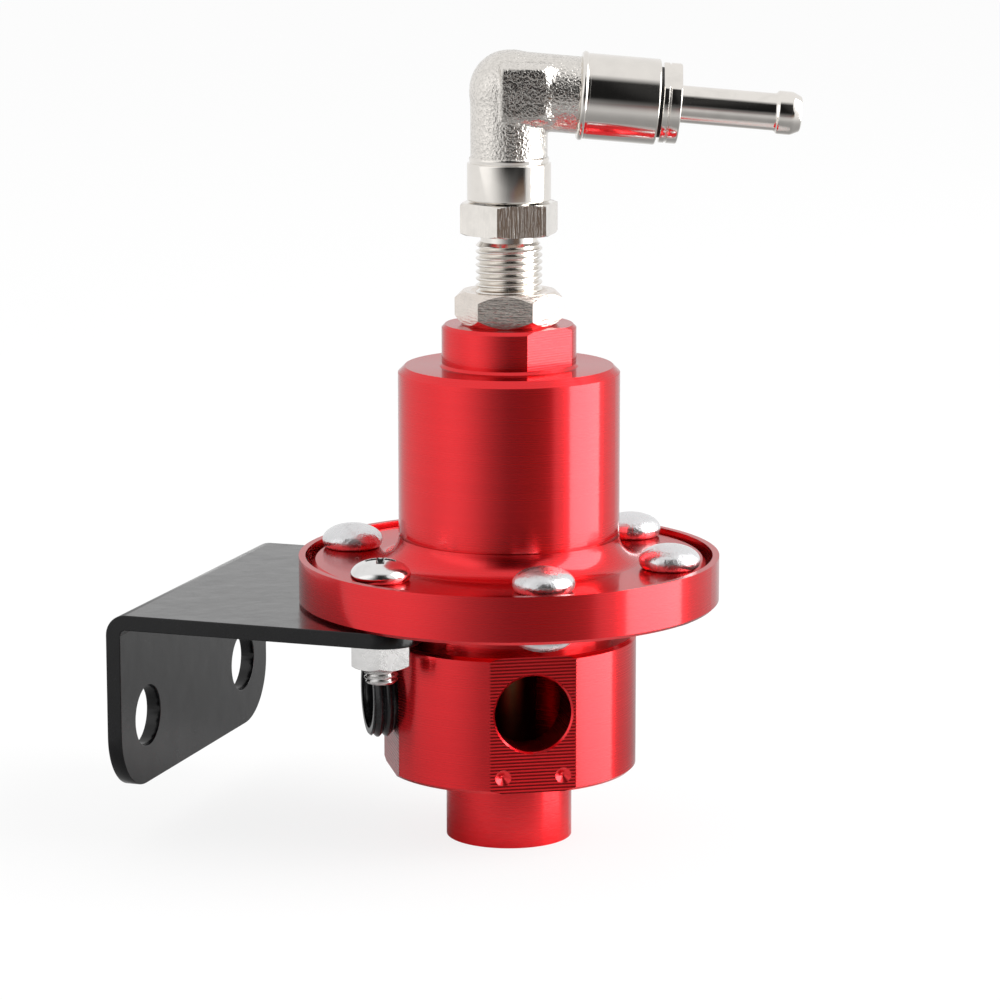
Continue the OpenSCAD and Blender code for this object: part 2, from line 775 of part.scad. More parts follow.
module barb_seal() {
    color(black_rubber) on_arm() translate([0, 0, socket_end])
        tube(tail_flats / 2 - seat_clear, tail_spigot_d / 2 + seat_clear, tail_seal_t);
}

// Dome headed rivets, closed on both faces of the flange
module flange_rivets() {
    grip = bonnet_flange_z - flange_z;
    color(plain_aluminium) for (angle = rivet_angles) at_angle(hole_circle, angle, flange_z) {
        cylinder(d = fastener_d, h = grip);
        translate([0, 0, grip]) dome(rivet_head_d / 2, rivet_head_h);
        mirror([0, 0, 1]) dome(rivet_head_d / 2, rivet_foot_h);
    }
}

// Screws with a domed head and a cross recess, through flange and bracket
module bracket_screws() {
    nut_bottom_z = flange_z - sheet_t - nut_h;
    length = bonnet_flange_z - nut_bottom_z + screw_tail;
    recess_w = 1.1;
    recess_len = 5;
    recess_depth = 1.9;
    recess_turns = [20, 110];
    color(bright_zinc) for (angle = screw_angles) at_angle(hole_circle, angle, bonnet_flange_z) {
        difference() {
            dome(screw_head_d / 2, screw_head_h);
            for (turn = recess_turns)
                rotate(turn) translate([-recess_len / 2, -recess_w / 2, screw_head_h - recess_depth])
                    cube([recess_len, recess_w, recess_depth + over]);
        }
        translate([0, 0, -length]) cylinder(d = fastener_d, h = length);
    }
}

module bracket_nuts() {
    nut_bottom_z = flange_z - sheet_t - nut_h;
    color(bright_zinc) for (angle = screw_angles) at_angle(hole_circle, angle, nut_bottom_z) difference() {
        rotate(nut_turn) hex_prism(nut_af, nut_h, nut_lead);
        translate([0, 0, -over]) cylinder(r = fastener_d / 2 + seat_clear, h = nut_h + 2 * over);
    }
}

// Section of the folded sheet, seen along the bend, with X across and Z up
module bracket_section() {
    plate_len = bracket_reach - ear_end;
    inner_r = bend_r - sheet_t;
    difference() {
        union() {
            translate([-bracket_reach, flange_z - sheet_t]) square([plate_len, sheet_t]);
            translate([-bracket_reach, flange_z - bracket_drop]) square([sheet_t, bracket_drop]);
            translate([-bracket_reach + sheet_t, flange_z - sheet_t - inner_r]) square(inner_r);
        }
        translate([-bracket_reach, flange_z]) mirror([0, 1]) corner_scrap(bend_r);
        translate([-bracket_reach + bend_r, flange_z - bend_r]) circle(r = inner_r);
    }
}

// Fork cut-out round the waist and the rivet in the middle of the plate
module bracket_fork() {
    rivet_room = rivet_head_d / 2 + fork_clear;
    circle(r = waist_r + fork_clear);
    translate([-hole_circle, 0]) circle(r = rivet_room);
    translate([-hole_circle, -rivet_room]) square([hole_circle, 2 * rivet_room]);
}

module mounting_bracket() {
    leg_z = flange_z - bracket_drop;
    color(black_paint) difference() {
        translate([0, bracket_w / 2, 0]) rotate([90, 0, 0]) linear_extrude(bracket_w) bracket_section();
        translate([0, 0, flange_z - sheet_t - over]) linear_extrude(sheet_t + 2 * over) {
            bracket_fork();
            for (side = [0, 1]) mirror([0, side])
                translate([-ear_end, -bracket_w / 2]) mirror([1, 0]) corner_scrap(ear_corner_r);
        }
        for (angle = screw_angles)
            at_angle(hole_circle, angle, flange_z - sheet_t - over)
                cylinder(r = hole_r, h = sheet_t + 2 * over);
        for (side = [0, 1]) mirror([0, side, 0])
            translate([-bracket_reach - over, -bracket_w / 2, leg_z])
                rotate([90, 0, 90]) linear_extrude(sheet_t + 2 * over) corner_scrap(leg_corner_r);
        for (side = [-1, 1])
            translate([-bracket_reach - over, side * mount_spacing / 2, flange_z - mount_drop])
                rotate([0, 90, 0]) cylinder(d = mount_hole_d, h = sheet_t + 2 * over);
    }
}

// Hollow plug, closed at its inner end
module port_plug() {
    shank_r = port_r - seat_clear;
    mouth = flat_reach + plug_proud;
    inner_end = flat_reach - plug_depth;
    shoulder = flat_reach + port_countersink;
    color(black_rubber) on_port(plug_angle) rotate([0, 90, 0]) rotate_extrude() polygon([
        [0, inner_end], [shank_r, inner_end], [shank_r, shoulder], [plug_d / 2, shoulder],
        [plug_d / 2, mouth], [plug_bore / 2 + plug_chamfer, mouth], [plug_bore / 2, mouth - plug_chamfer],
        [plug_bore / 2, inner_end + plug_end_t], [0, inner_end + plug_end_t]
    ]);
}

lower_body();
bonnet();
diaphragm();
valve_holder();
valve_disc();
spring_cup();
stud_nut();
return_seat();
main_spring();
spring_seat();
adjusting_stem();
stem_seal();
lock_nut();
swivel_elbow();
swivel_seal();
swivel_clip();
hose_barb();
barb_seal();
flange_rivets();
bracket_screws();
bracket_nuts();
mounting_bracket();
port_plug();
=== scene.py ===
"""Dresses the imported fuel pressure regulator: threads, forging, finishes, camera and light."""

import math

import bmesh
import bpy
import numpy as np
from bpy.props import FloatProperty, FloatVectorProperty, PointerProperty
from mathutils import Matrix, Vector


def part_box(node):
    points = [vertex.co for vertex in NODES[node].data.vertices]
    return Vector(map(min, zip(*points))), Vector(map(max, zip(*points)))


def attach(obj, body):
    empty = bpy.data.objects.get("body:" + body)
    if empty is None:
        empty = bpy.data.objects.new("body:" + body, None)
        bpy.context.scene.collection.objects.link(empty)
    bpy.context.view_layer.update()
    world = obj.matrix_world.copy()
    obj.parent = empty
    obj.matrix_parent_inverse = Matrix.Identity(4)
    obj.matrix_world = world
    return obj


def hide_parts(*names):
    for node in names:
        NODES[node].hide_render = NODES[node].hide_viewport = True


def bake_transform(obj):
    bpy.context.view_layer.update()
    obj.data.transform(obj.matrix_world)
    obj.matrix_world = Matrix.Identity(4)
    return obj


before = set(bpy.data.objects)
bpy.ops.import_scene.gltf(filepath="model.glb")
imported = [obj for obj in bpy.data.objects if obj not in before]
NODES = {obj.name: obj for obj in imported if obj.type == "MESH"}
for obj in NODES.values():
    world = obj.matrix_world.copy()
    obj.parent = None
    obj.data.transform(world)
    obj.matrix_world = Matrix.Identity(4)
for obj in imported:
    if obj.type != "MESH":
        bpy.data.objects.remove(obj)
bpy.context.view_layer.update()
MM = 0.001

bl_info = {
    "name": "Fuel pressure regulator",
    "version": (1, 0, 0),
    "blender": (4, 5, 0),
    "location": "View3D > Sidebar > Regulator",
    "description": "Builds the visible surfaces and finishes of a fuel pressure regulator",
    "category": "Object",
}


def heights(node):
    """Lowest and highest point of a CAD node, in millimetres."""
    return [corner[2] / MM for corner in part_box(node)]


# Circle of the flange's screws and rivets, with the headings of both, seen from above
HOLE_CIRCLE = 25.0
SCREW_HEADINGS = np.radians((120.0, 240.0))
RIVET_HEADINGS = np.radians((0.0, 60.0, 180.0, 300.0))

# Ports and flats of the body: headings, height of the ports, and each flat's reach, lowest and highest point
INLET_HEADING = math.radians(300.0)
PLUG_HEADING = math.radians(210.0)
PORT_HEIGHT = 22.6
PORT_FLAT = (18.0, 10.0, 31.3)
NECK_HEADINGS = (math.radians(330.0), math.radians(150.0))
NECK_FLAT = (9.0, 71.9, 77.9)

# Brightness of the card on the camera's side, by the angle to the right in degrees
CARD_STOPS = (
    (-90, 1.25), (-64, 1.20), (-42, 0.90), (-20, 0.48),
    (0, 0.20), (15, 0.13), (30, 0.05), (43, 0.04),
    (48, 0.80), (58, 1.00), (90, 1.00),
)

# Arm of the elbow: it leaves the corner along its axis, which droops a little below the level
ARM_HEADING = math.radians(20.0)
ARM_TILT = math.radians(95.0)
ELBOW_FOOT = heights("swivel_elbow")[0]
ARM_ORIGIN = np.array((0.0, 0.0, ELBOW_FOOT + 16.3))
ARM_AXIS = np.array(
    (
        math.cos(ARM_HEADING) * math.sin(ARM_TILT),
        math.sin(ARM_HEADING) * math.sin(ARM_TILT),
        math.cos(ARM_TILT),
    )
)


def colour(label, about, value):
    """Colour property with three channels."""
    return FloatVectorProperty(
        name=label, description=about, default=value, size=3, subtype="COLOR", min=0.0, max=1.0
    )


def length(label, about, value_mm):
    """Length property, given in millimetres."""
    return FloatProperty(
        name=label, description=about, default=value_mm * MM, min=0.0, unit="LENGTH", precision=5
    )


def angle(label, about, value_deg):
    """Angle property, given in degrees."""
    return FloatProperty(
        name=label, description=about, default=math.radians(value_deg), subtype="ANGLE", unit="ROTATION"
    )


class FinishSettings(bpy.types.PropertyGroup):
    """Colours of the finishes."""

    red: colour("Red anodising", "Dyed film on the turned aluminium", (0.82, 0.018, 0.025))
    nickel: colour("Nickel", "Bright nickel on stem, elbow and hose tail", (0.80, 0.765, 0.72))
    # The lock nut's warm cast is a painted reflection of the red body on its nickel.
    nut: colour("Lock nut", "Nickel with a bronze cast on the lock nut", (0.76, 0.69, 0.63))
    zinc: colour("Zinc", "Bright zinc on screws and nuts", (0.76, 0.75, 0.74))
    aluminium: colour("Aluminium", "Plain aluminium of the rivets", (0.73, 0.73, 0.74))
    paint: colour("Black paint", "Satin paint on the bracket", (0.0025, 0.0025, 0.003))
    plastic: colour("Black plastic", "Moulded port plug", (0.010, 0.010, 0.011))
    rubber: colour("Rubber", "Seal rings and diaphragm", (0.018, 0.018, 0.018))
    # The return seat's brass is darkened, partly for tarnish and partly as painted shade inside the inlet
    # bore.
    brass: colour("Brass", "Return seat", (0.24, 0.16, 0.07))
    steel: colour("Spring steel", "Pressure spring, valve disc and snap ring", (0.36, 0.36, 0.37))


class DetailSettings(bpy.types.PropertyGroup):
    """Sizes of the details that the solids leave plain."""

    stem_pitch: length("Stem pitch", "Pitch of the adjusting stem's thread", 1.0)
    screw_pitch: length("Screw pitch", "Pitch of the bracket screws' thread", 0.8)
    plug_pitch: length("Plug pitch", "Pitch of the port plug's thread", 1.34)
    port_ridge: length("Port flat ridges", "Spacing of the milled lines on the port flats", 0.5)
    neck_ridge: length("Neck flat ridges", "Spacing of the milled lines on the neck flats", 0.38)
    pebble: length("Forging grain", "Size of the grain on the forged elbow", 0.34)
    sheet_edge: length("Sheet edge", "Rounding of the bracket's sheet edges", 0.35)


class StageSettings(bpy.types.PropertyGroup):
    """Camera and floor."""

    azimuth: angle("Azimuth", "Camera direction round the part", 18.5)
    elevation: angle("Elevation", "Camera height over the horizon", 10.8)
    distance: length("Distance", "Camera distance from the middle of the part", 600.0)
    aim: length("Aim height", "Height of the point that the camera looks at", 51.18)
    lens: FloatProperty(name="Lens", description="Focal length in millimetres", default=144.7, min=1.0)
    shift: FloatProperty(name="Shift", description="Sideways shift of the frame", default=-0.009)
    floor: colour("Floor", "Pale studio floor", (0.93, 0.93, 0.93))


def ring_angles(count):
    """Row of angles round one full turn, without the repeated last one."""
    return np.linspace(0.0, 2.0 * np.pi, count, endpoint=False)[None, :]


def rings(r, z, t):
    """Points (r cos t, r sin t, z) of a stack of rings."""
    return np.stack(np.broadcast_arrays(r * np.cos(t), r * np.sin(t), z), -1)


def grid_quads(rows, cols):
    """Quads of a grid that closes on itself in both directions."""
    i = np.arange(rows)[:, None]
    j = np.arange(cols)[None, :]
    below = (i + 1) % rows
    right = (j + 1) % cols
    corners = (i * cols + j, i * cols + right, below * cols + right, below * cols + j)
    return np.stack(np.broadcast_arrays(*corners), -1).reshape(-1, 4)


def rounded(points, radius, steps=5):
    """Closed profile whose corners are cut back by radius and bridged by a quadratic curve."""
    points = np.asarray(points, float)
    before = np.roll(points, 1, axis=0) - points
    after = np.roll(points, -1, axis=0) - points
    reach_a = np.linalg.norm(before, axis=1, keepdims=True)
    reach_b = np.linalg.norm(after, axis=1, keepdims=True)
    wanted = np.broadcast_to(np.reshape(radius, (-1, 1)), reach_a.shape)
    cut = np.minimum(wanted, 0.49 * np.minimum(reach_a, reach_b))
    start = (points + before / reach_a * cut)[:, None, :]
    end = (points + after / reach_b * cut)[:, None, :]
    corner = points[:, None, :]
    t = np.linspace(0.0, 1.0, steps)[None, :, None]
    curve = (1 - t) ** 2 * start + 2 * t * (1 - t) * corner + t ** 2 * end
    return curve.reshape(-1, 2)


def lathe(profile, cols=128, hollow=True):
    """Turned shell: profile point (r, z) becomes the ring (r cos t, r sin t, z), t round a full turn.
    A hollow shell closes from its last ring to its first; a solid one starts and ends on the axis."""
    profile = np.asarray(profile, float)
    points = rings(profile[:, :1], profile[:, 1:], ring_angles(cols))
    quads = grid_quads(len(profile), cols)
    return points.reshape(-1, 3), quads if hollow else quads[:-cols]


def lathe_with_flats(profile, flats, turn, cols=192):
    """Turned shell whose rings are held inside two parallel flats: r is at most flats / |cos(t - turn)|
    where the profile's third value is 1."""
    profile = np.asarray(profile, float)
    t = ring_angles(cols)
    limit = flats / np.maximum(np.abs(np.cos(t - turn)), 1e-6)
    r = np.where(profile[:, 2:] > 0.5, np.minimum(profile[:, :1], limit), profile[:, :1])
    return rings(r, profile[:, 1:2], t).reshape(-1, 3), grid_quads(len(profile), cols)


def thread_sleeve(low, high, pitch, root, crest, bore, sharpness=1.0, cols=80, rows=12):
    """Threaded tube. Row k lies on the helix z = pitch (k / rows + t / 2 pi), cut off at both ends, and its
    radius swings from root to crest once every turn. A 45 degree cone ends the thread at each end, and both
    ends close onto the bore."""
    lead = 1.05 * (crest - root)
    count = (int(np.ceil((high - low) / pitch)) + 1) * rows + 1
    k = np.arange(count)[:, None]
    t = ring_angles(cols)
    z = np.clip(low - pitch + pitch * (k / rows + t / (2.0 * np.pi)), low, high)
    swing = (0.5 - 0.5 * np.cos(2.0 * np.pi * k / rows)) ** sharpness
    r = np.minimum(root + (crest - root) * swing, crest - lead + np.minimum(z - low, high - z))
    points = np.concatenate((rings(bore, low, t), rings(r, z, t), rings(bore, high, t)))
    quads = grid_quads(count + 2, cols).reshape(count + 2, cols, 4)
    seam = np.minimum(np.arange(1, count + 1) + rows, count)
    quads[1:count, -1, 1] = seam[: count - 1] * cols
    quads[1:count, -1, 2] = seam[1:] * cols
    return points.reshape(-1, 3), quads.reshape(-1, 4)


def hex_block(low, high, across, corner_turn, bore, cols=96, rows=6):
    """Hexagon with broken corners: r is across / 2 over the cosine of the angle to the nearest flat, and at
    most the radius of a cone that opens from each end face. Both ends close onto the bore."""
    corner = across / math.sqrt(3.0)
    lead, slope = 0.25, 2.2
    t = ring_angles(cols)
    side = 0.5 * across / np.cos(t % (math.pi / 3.0) - math.pi / 6.0)
    ends = np.linspace(0.0, lead, rows)
    z = np.concatenate((low + ends, high - ends[::-1]))[:, None]
    edge = np.minimum(z - low, high - z)
    cone = corner - slope * lead + slope * edge
    r = np.minimum(side, cone)
    turn = t + corner_turn
    points = np.concatenate((rings(bore, low, turn), rings(r, z, turn), rings(bore, high, turn)))
    return points.reshape(-1, 3), grid_quads(len(points), cols)


def coil(first, last, turns, low, high, mean, wire, cols=16, steps=40):
    """Wire carried along a helix: the ring at turn s has its centre on the radius mean, at a height that
    rises evenly from low to high over all turns, and is a circle in the plane of the axis. Both ends
    close onto their centres."""
    s = np.linspace(first, last, int(round((last - first) * steps)) + 1)
    s = np.concatenate((s[:1], s, s[-1:]))[:, None]
    section = np.full(s.shape, wire)
    section[[0, -1]] = 0.0
    around = ring_angles(cols)
    r = mean + section * np.cos(around)
    z = low + (high - low) * s / turns + section * np.sin(around)
    return rings(r, z, 2.0 * np.pi * s).reshape(-1, 3), grid_quads(len(s), cols)[:-cols]


def forging(tube, swell, reach_down, reach_out, rows=150, cols=360):
    """Skin of the forging, as one distance for every direction from the corner. Each form gives the
    distance at which a ray leaves it: the ball its radius, a tube its radius over the sine of the angle
    to its axis, cut off by its end, and the block of the pads the nearer of its flat faces and its sloped
    walls, whose plan is a square with rounded corners. A high power mean takes the largest of them,
    with small fillets where they meet."""
    side = np.array((-math.sin(ARM_HEADING), math.cos(ARM_HEADING), 0.0))
    ahead = np.array((math.cos(ARM_HEADING), math.sin(ARM_HEADING), 0.0))
    up = np.array((0.0, 0.0, 1.0))
    polar = np.linspace(0.0, np.pi, rows)[:, None]
    turn = ring_angles(cols)
    ray = (
        np.cos(polar)[..., None] * side
        + (np.sin(polar) * np.cos(turn))[..., None] * ahead
        + (np.sin(polar) * np.sin(turn))[..., None] * up
    )

    def tube_way(axis, reach):
        """Way out of a half tube along axis."""
        along = ray @ axis
        wall = tube / np.sqrt(np.maximum(1.0 - along ** 2, 1e-6))
        cap = reach / np.maximum(along, 1e-6)
        return np.where(along > 0.0, np.minimum(wall, cap), 1e-3)

    rates = []
    for axis, middle, half in ((ahead, 2.05, 3.4), (up, -0.35, 3.7)):
        along = ray @ axis
        rates.append(np.abs(along) / (middle * np.sign(along) + half))
    corner_power, edge_power, fillet_power = 7.0, 24.0, 34.0
    plan = np.maximum(rates[0] ** corner_power + rates[1] ** corner_power, 1e-60) ** (1.0 / corner_power)
    face = tube + 0.25
    rise = np.abs(ray @ side)
    draft = 0.16
    wall = np.minimum((1.0 + draft * face) / (plan + draft * rise), 1.25 / plan)
    top = face / np.maximum(rise, 1e-6)
    block = (wall ** -edge_power + top ** -edge_power) ** (-1.0 / edge_power)
    ball = np.full_like(block, tube + swell)
    forms = np.array((ball, tube_way(ARM_AXIS, reach_out), tube_way(-up, reach_down), block))
    way = np.sum(forms ** fillet_power, axis=0) ** (1.0 / fillet_power)
    points = ARM_ORIGIN + ray * way[..., None]
    return points.reshape(-1, 3), grid_quads(rows, cols)[:-cols]


def cross_head(radius, height, rows=72, cols=192):
    """Domed screw head: the height over each point is that of a half ellipse on a low edge, less two tapered
    slots that cross, down to a flat floor. The edge turns in below the widest place and closes to the middle
    underneath."""
    spread = np.sin(np.linspace(0.0, np.pi / 2.0, rows))[:, None] * radius
    t = ring_angles(cols)
    x = spread * np.cos(t)
    y = spread * np.sin(t)
    edge = 0.9
    slot_half, slot_reach, slot_depth = 0.58, 2.2, 1.9
    lip, steepest = 0.7, 75.0
    cap = edge + (height - edge) * np.sqrt(1.0 - (spread / radius) ** 2)
    inside = np.full_like(x, -1.0)
    for turn in np.radians((20.0, 110.0)):
        across = np.abs(y * math.cos(turn) - x * math.sin(turn))
        along = np.abs(x * math.cos(turn) + y * math.sin(turn))
        inside = np.maximum(inside, np.minimum(slot_half - across, 0.7 * (slot_reach - along)))
    cut = np.clip(inside * 4.0, 0.0, slot_depth)
    z = np.minimum(cap, np.maximum(height - slot_depth, cap - cut))
    top = np.stack((x, y, z), -1)
    fall = np.radians(np.linspace(-12.0, -steepest, 8))[:, None]
    turned_in = radius - lip + lip * np.cos(fall)
    low = edge * (1.0 + np.sin(fall) / math.sin(math.radians(steepest)))
    points = np.concatenate((top, rings(turned_in, low, t), np.zeros((1, cols, 3))))
    return points.reshape(-1, 3), grid_quads(len(points), cols)[:-cols]


def placed(shell, origin, heading, tilt):
    """Shell turned by tilt about Y, then by heading about Z, and moved to origin."""
    points, quads = shell
    x_axis = (math.cos(heading) * math.cos(tilt), math.sin(heading) * math.cos(tilt), -math.sin(tilt))
    y_axis = (-math.sin(heading), math.cos(heading), 0.0)
    z_axis = (math.cos(heading) * math.sin(tilt), math.sin(heading) * math.sin(tilt), math.cos(tilt))
    return points @ np.array((x_axis, y_axis, z_axis)) + np.asarray(origin), quads


def joined(shells):
    """Points and quads of several shells as one pair of arrays."""
    starts = np.cumsum([0] + [len(points) for points, quads in shells[:-1]])
    points = np.concatenate([points for points, quads in shells])
    quads = np.concatenate([shell[1] + start for shell, start in zip(shells, starts)])
    return points, quads


def round_flange(shells, headings, height=0.0):
    """Copies of shells on the hole circle, one set at each heading."""
    copies = []
    for heading in headings:
        centre = (HOLE_CIRCLE * math.cos(heading), HOLE_CIRCLE * math.sin(heading), height)
        copies += [placed(shell, centre, 0.0, 0.0) for shell in shells]
    return copies


def new_object(name, shells, material, nodes, crease=32.0):
    """Mesh object from shells in millimetres, doubles merged and normals outwards, in place of CAD nodes."""
    points, quads = joined(shells)
    mesh = bpy.data.meshes.new(name)
    mesh.from_pydata((points * MM).tolist(), [], quads.tolist())
    work = bmesh.new()
    work.from_mesh(mesh)
    bmesh.ops.remove_doubles(work, verts=work.verts, dist=2e-7)
    bmesh.ops.dissolve_degenerate(work, edges=work.edges, dist=1e-7)
    bmesh.ops.recalc_face_normals(work, faces=work.faces)
    work.to_mesh(mesh)
    work.free()
    mesh.shade_smooth()
    mesh.set_sharp_from_angle(angle=math.radians(crease))
    piece = bpy.data.objects.new(name, mesh)
    bpy.context.scene.collection.objects.link(piece)
    mesh.materials.append(material)
    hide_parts(*nodes)
    return piece


def new_piece(name, shells, material, body, nodes, crease=32.0):
    """Mesh object made by new_object that rides on a body."""
    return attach(new_object(name, shells, material, nodes, crease), body)


def finish_node(node, material):
    """Gives a CAD node one material."""
    mesh = NODES[node].data
    mesh.materials.clear()
    mesh.materials.append(material)


def feed(tree, node, inputs):
    """Sets the inputs of a node, or links those that are given as sockets."""
    for key, value in inputs.items():
        if isinstance(value, bpy.types.NodeSocket):
            tree.links.new(value, node.inputs[key])
        else:
            node.inputs[key].default_value = value


def add(tree, kind, inputs=None, **settings):
    """New shader node of a kind, with its settings and its inputs."""
    node = tree.nodes.new("ShaderNode" + kind)
    for key, value in settings.items():
        setattr(node, key, value)
    feed(tree, node, inputs or {})
    return node


def math_node(tree, operation, first, second=0.0, third=0.0):
    """Value of one math operation."""
    return add(tree, "Math", {0: first, 1: second, 2: third}, operation=operation).outputs[0]


def times(tree, first, second):
    """Product of two values."""
    return math_node(tree, "MULTIPLY", first, second)


def noise(tree, vector, scale, detail=3.0, rough=0.5):
    """Value of a noise field."""
    inputs = {"Vector": vector, "Scale": scale, "Detail": detail, "Roughness": rough}
    return add(tree, "TexNoise", inputs).outputs[0]


def ramp_value(tree, value, low, high, start=0.0, end=1.0):
    """Value carried from one range to another and held there."""
    inputs = {"Value": value, "From Min": low, "From Max": high, "To Min": start, "To Max": end}
    return add(tree, "MapRange", inputs).outputs[0]


def blend(tree, factor, first, second):
    """Colour between two colours."""
    return add(tree, "Mix", {0: factor, 6: first, 7: second}, data_type="RGBA").outputs[2]


def dot(tree, first, second):
    """Dot product of two vectors."""
    return add(tree, "VectorMath", {0: first, 1: second}, operation="DOT_PRODUCT").outputs["Value"]


def height_of(tree, vector):
    """Third part of a vector."""
    return add(tree, "SeparateXYZ", {0: vector}).outputs[2]


def new_group(name, vectors, values, outputs):
    """Empty shader node group with named sockets, its input sockets and its output node."""
    tree = bpy.data.node_groups.new(name, "ShaderNodeTree")
    for label in vectors:
        tree.interface.new_socket(name=label, in_out="INPUT", socket_type="NodeSocketVector")
    for label in values:
        tree.interface.new_socket(name=label, in_out="INPUT", socket_type="NodeSocketFloat")
    for label in outputs:
        tree.interface.new_socket(name=label, in_out="OUTPUT", socket_type="NodeSocketFloat")
    return tree, tree.nodes.new("NodeGroupInput").outputs, tree.nodes.new("NodeGroupOutput")


def turning_group():
    """Fine tool lines: one dimensional noise along the position, once fine and once broad."""
    tree, given, result = new_group("Turning lines", (), ("Position", "Fineness"), ("Height", "Tone"))
    fine = times(tree, given["Position"], given["Fineness"])
    lines = add(tree, "TexNoise", {"W": fine, "Scale": 1.0, "Detail": 4.0}, noise_dimensions="1D")
    broad = add(tree, "TexNoise", {"W": given["Position"], "Scale": 0.6}, noise_dimensions="1D")
    feed(tree, result, {"Height": lines.outputs[0], "Tone": broad.outputs[0]})
    return tree


def ridges_group():
    """Milled lines on a flat: a triangle wave up the height, on the plane at Reach along Facing."""
    tree, given, result = new_group(
        "Milled ridges", ("Vector", "Facing"), ("Reach", "Low", "High", "Pitch"), ("Height", "Mask")
    )
    distance = dot(tree, given["Vector"], given["Facing"])
    on_plane = math_node(tree, "COMPARE", distance, given["Reach"], 0.05)
    height = height_of(tree, given["Vector"])
    above = math_node(tree, "GREATER_THAN", height, given["Low"])
    below = math_node(tree, "LESS_THAN", height, given["High"])
    mask = times(tree, on_plane, times(tree, above, below))
    half = times(tree, given["Pitch"], 0.5)
    wave = math_node(tree, "DIVIDE", math_node(tree, "PINGPONG", height, half), half)
    feed(tree, result, {"Height": times(tree, wave, mask), "Mask": mask})
    return tree


def grain_group():
    """Forging grain: noise of the given size, pushed towards flat tops and narrow valleys."""
    tree, given, result = new_group("Forging grain", ("Vector",), ("Size",), ("Height", "Tone"))
    scale = math_node(tree, "DIVIDE", 0.8, given["Size"])
    grain = noise(tree, given["Vector"], scale, 2.0, 0.5)
    steep = ramp_value(tree, grain, 0.30, 0.62)
    feed(tree, result, {"Height": steep, "Tone": noise(tree, given["Vector"], 0.5)})
    return tree


def streak_group():
    """Tool marks: noise stretched by a different factor along each axis."""
    tree, given, result = new_group("Tool marks", ("Vector", "Stretch"), (), ("Height", "Tone"))
    factors = {0: given["Vector"], 1: given["Stretch"]}
    stretched = add(tree, "VectorMath", factors, operation="MULTIPLY").outputs[0]
    fine = noise(tree, stretched, 1.0, 3.0, 0.6)
    feed(tree, result, {"Height": fine, "Tone": noise(tree, stretched, 0.3, 2.0)})
    return tree


def scuff_group():
    """Handling marks: streaks of stretched noise that show only in patches."""
    tree, given, result = new_group("Scuffs", ("Vector",), ("Density",), ("Mask", "Patch"))
    drawn = {"Vector": given["Vector"], "Scale": (9.0, 0.9, 2.2), "Rotation": (0.4, 0.7, 0.5)}
    stretch = add(tree, "Mapping", drawn)
    streaks = ramp_value(tree, noise(tree, stretch.outputs[0], 1.4, 2.0), 0.55, 0.75)
    patch = ramp_value(tree, noise(tree, given["Vector"], 0.35, 3.0), 0.45, 0.7)
    mask = times(tree, times(tree, streaks, patch), given["Density"])
    feed(tree, result, {"Mask": mask, "Patch": patch})
    return tree


GROUPS = {}


def group(tree, maker, inputs):
    """Outputs of a shared node group placed in a material; the group is made on first use."""
    if maker not in GROUPS:
        GROUPS[maker] = maker()
    return add(tree, "Group", inputs, node_tree=GROUPS[maker]).outputs


def new_material(name, sockets):
    """Material with a Principled shader, and the Object coordinates in millimetres."""
    material = bpy.data.materials.new(name)
    material.use_nodes = True
    tree = material.node_tree
    shader = tree.nodes["Principled BSDF"]
    feed(tree, shader, sockets)
    place = add(tree, "TexCoord").outputs["Object"]
    scaled = add(tree, "VectorMath", {0: place, "Scale": 1.0 / MM}, operation="SCALE")
    return material, tree, shader, scaled.outputs[0]


def shade(tree, shader, base, rough, relief, depth_mm):
    """Links a colour and a roughness to the shader, and a bump of the given depth to its normal."""
    bump = add(tree, "Bump", {"Height": relief, "Strength": 1.0, "Distance": depth_mm * MM})
    feed(tree, shader, {"Base Color": base, "Roughness": rough, "Normal": bump.outputs[0]})


def tinted(rgb, factor):
    """Colour with alpha, made lighter or darker."""
    return tuple(min(1.0, channel * factor) for channel in rgb) + (1.0,)


def anodised(name, rgb, flats, pitch, ridge):
    """Dyed anodising over turned metal, with milled ridges on the named flats and painted shade darkening
    their grooves.
    """
    film = {
        "Metallic": 0.96,
        "Coat Weight": 0.55,
        "Coat Roughness": 0.1,
        "Anisotropic": 0.65,
        "Anisotropic Rotation": 0.25,
        "Specular Tint": (0.5, 0.5, 0.5, 1.0),
    }
    material, tree, shader, place = new_material(name, film)
    lines = group(tree, turning_group, {"Position": height_of(tree, place), "Fineness": 6.0})
    relief = times(tree, lines["Height"], 0.0012)
    painted_groove_shade = 0.0
    for heading, reach, low, high in flats:
        flat = {"Vector": place, "Reach": reach, "Low": low, "High": high, "Pitch": pitch / MM}
        flat["Facing"] = (math.cos(heading), math.sin(heading), 0.0)
        ridges = group(tree, ridges_group, flat)
        relief = math_node(tree, "MULTIPLY_ADD", ridges["Height"], ridge, relief)
        depth = math_node(tree, "SUBTRACT", ridges["Mask"], ridges["Height"])
        painted_groove_shade = math_node(tree, "MAXIMUM", painted_groove_shade, depth)
    tone = ramp_value(tree, lines["Tone"], 0.3, 0.7)
    base = blend(tree, tone, tinted(rgb, 0.985), tinted(rgb, 1.015))
    rough = ramp_value(tree, lines["Height"], 0.25, 0.75, 0.25, 0.28)
    # Painted shade: the grooves between the milled ridges are darkened in the colour.
    base = blend(tree, times(tree, painted_groove_shade, 0.45), base, tinted(rgb, 0.25))
    shade(tree, shader, base, rough, relief, 0.12)
    return material


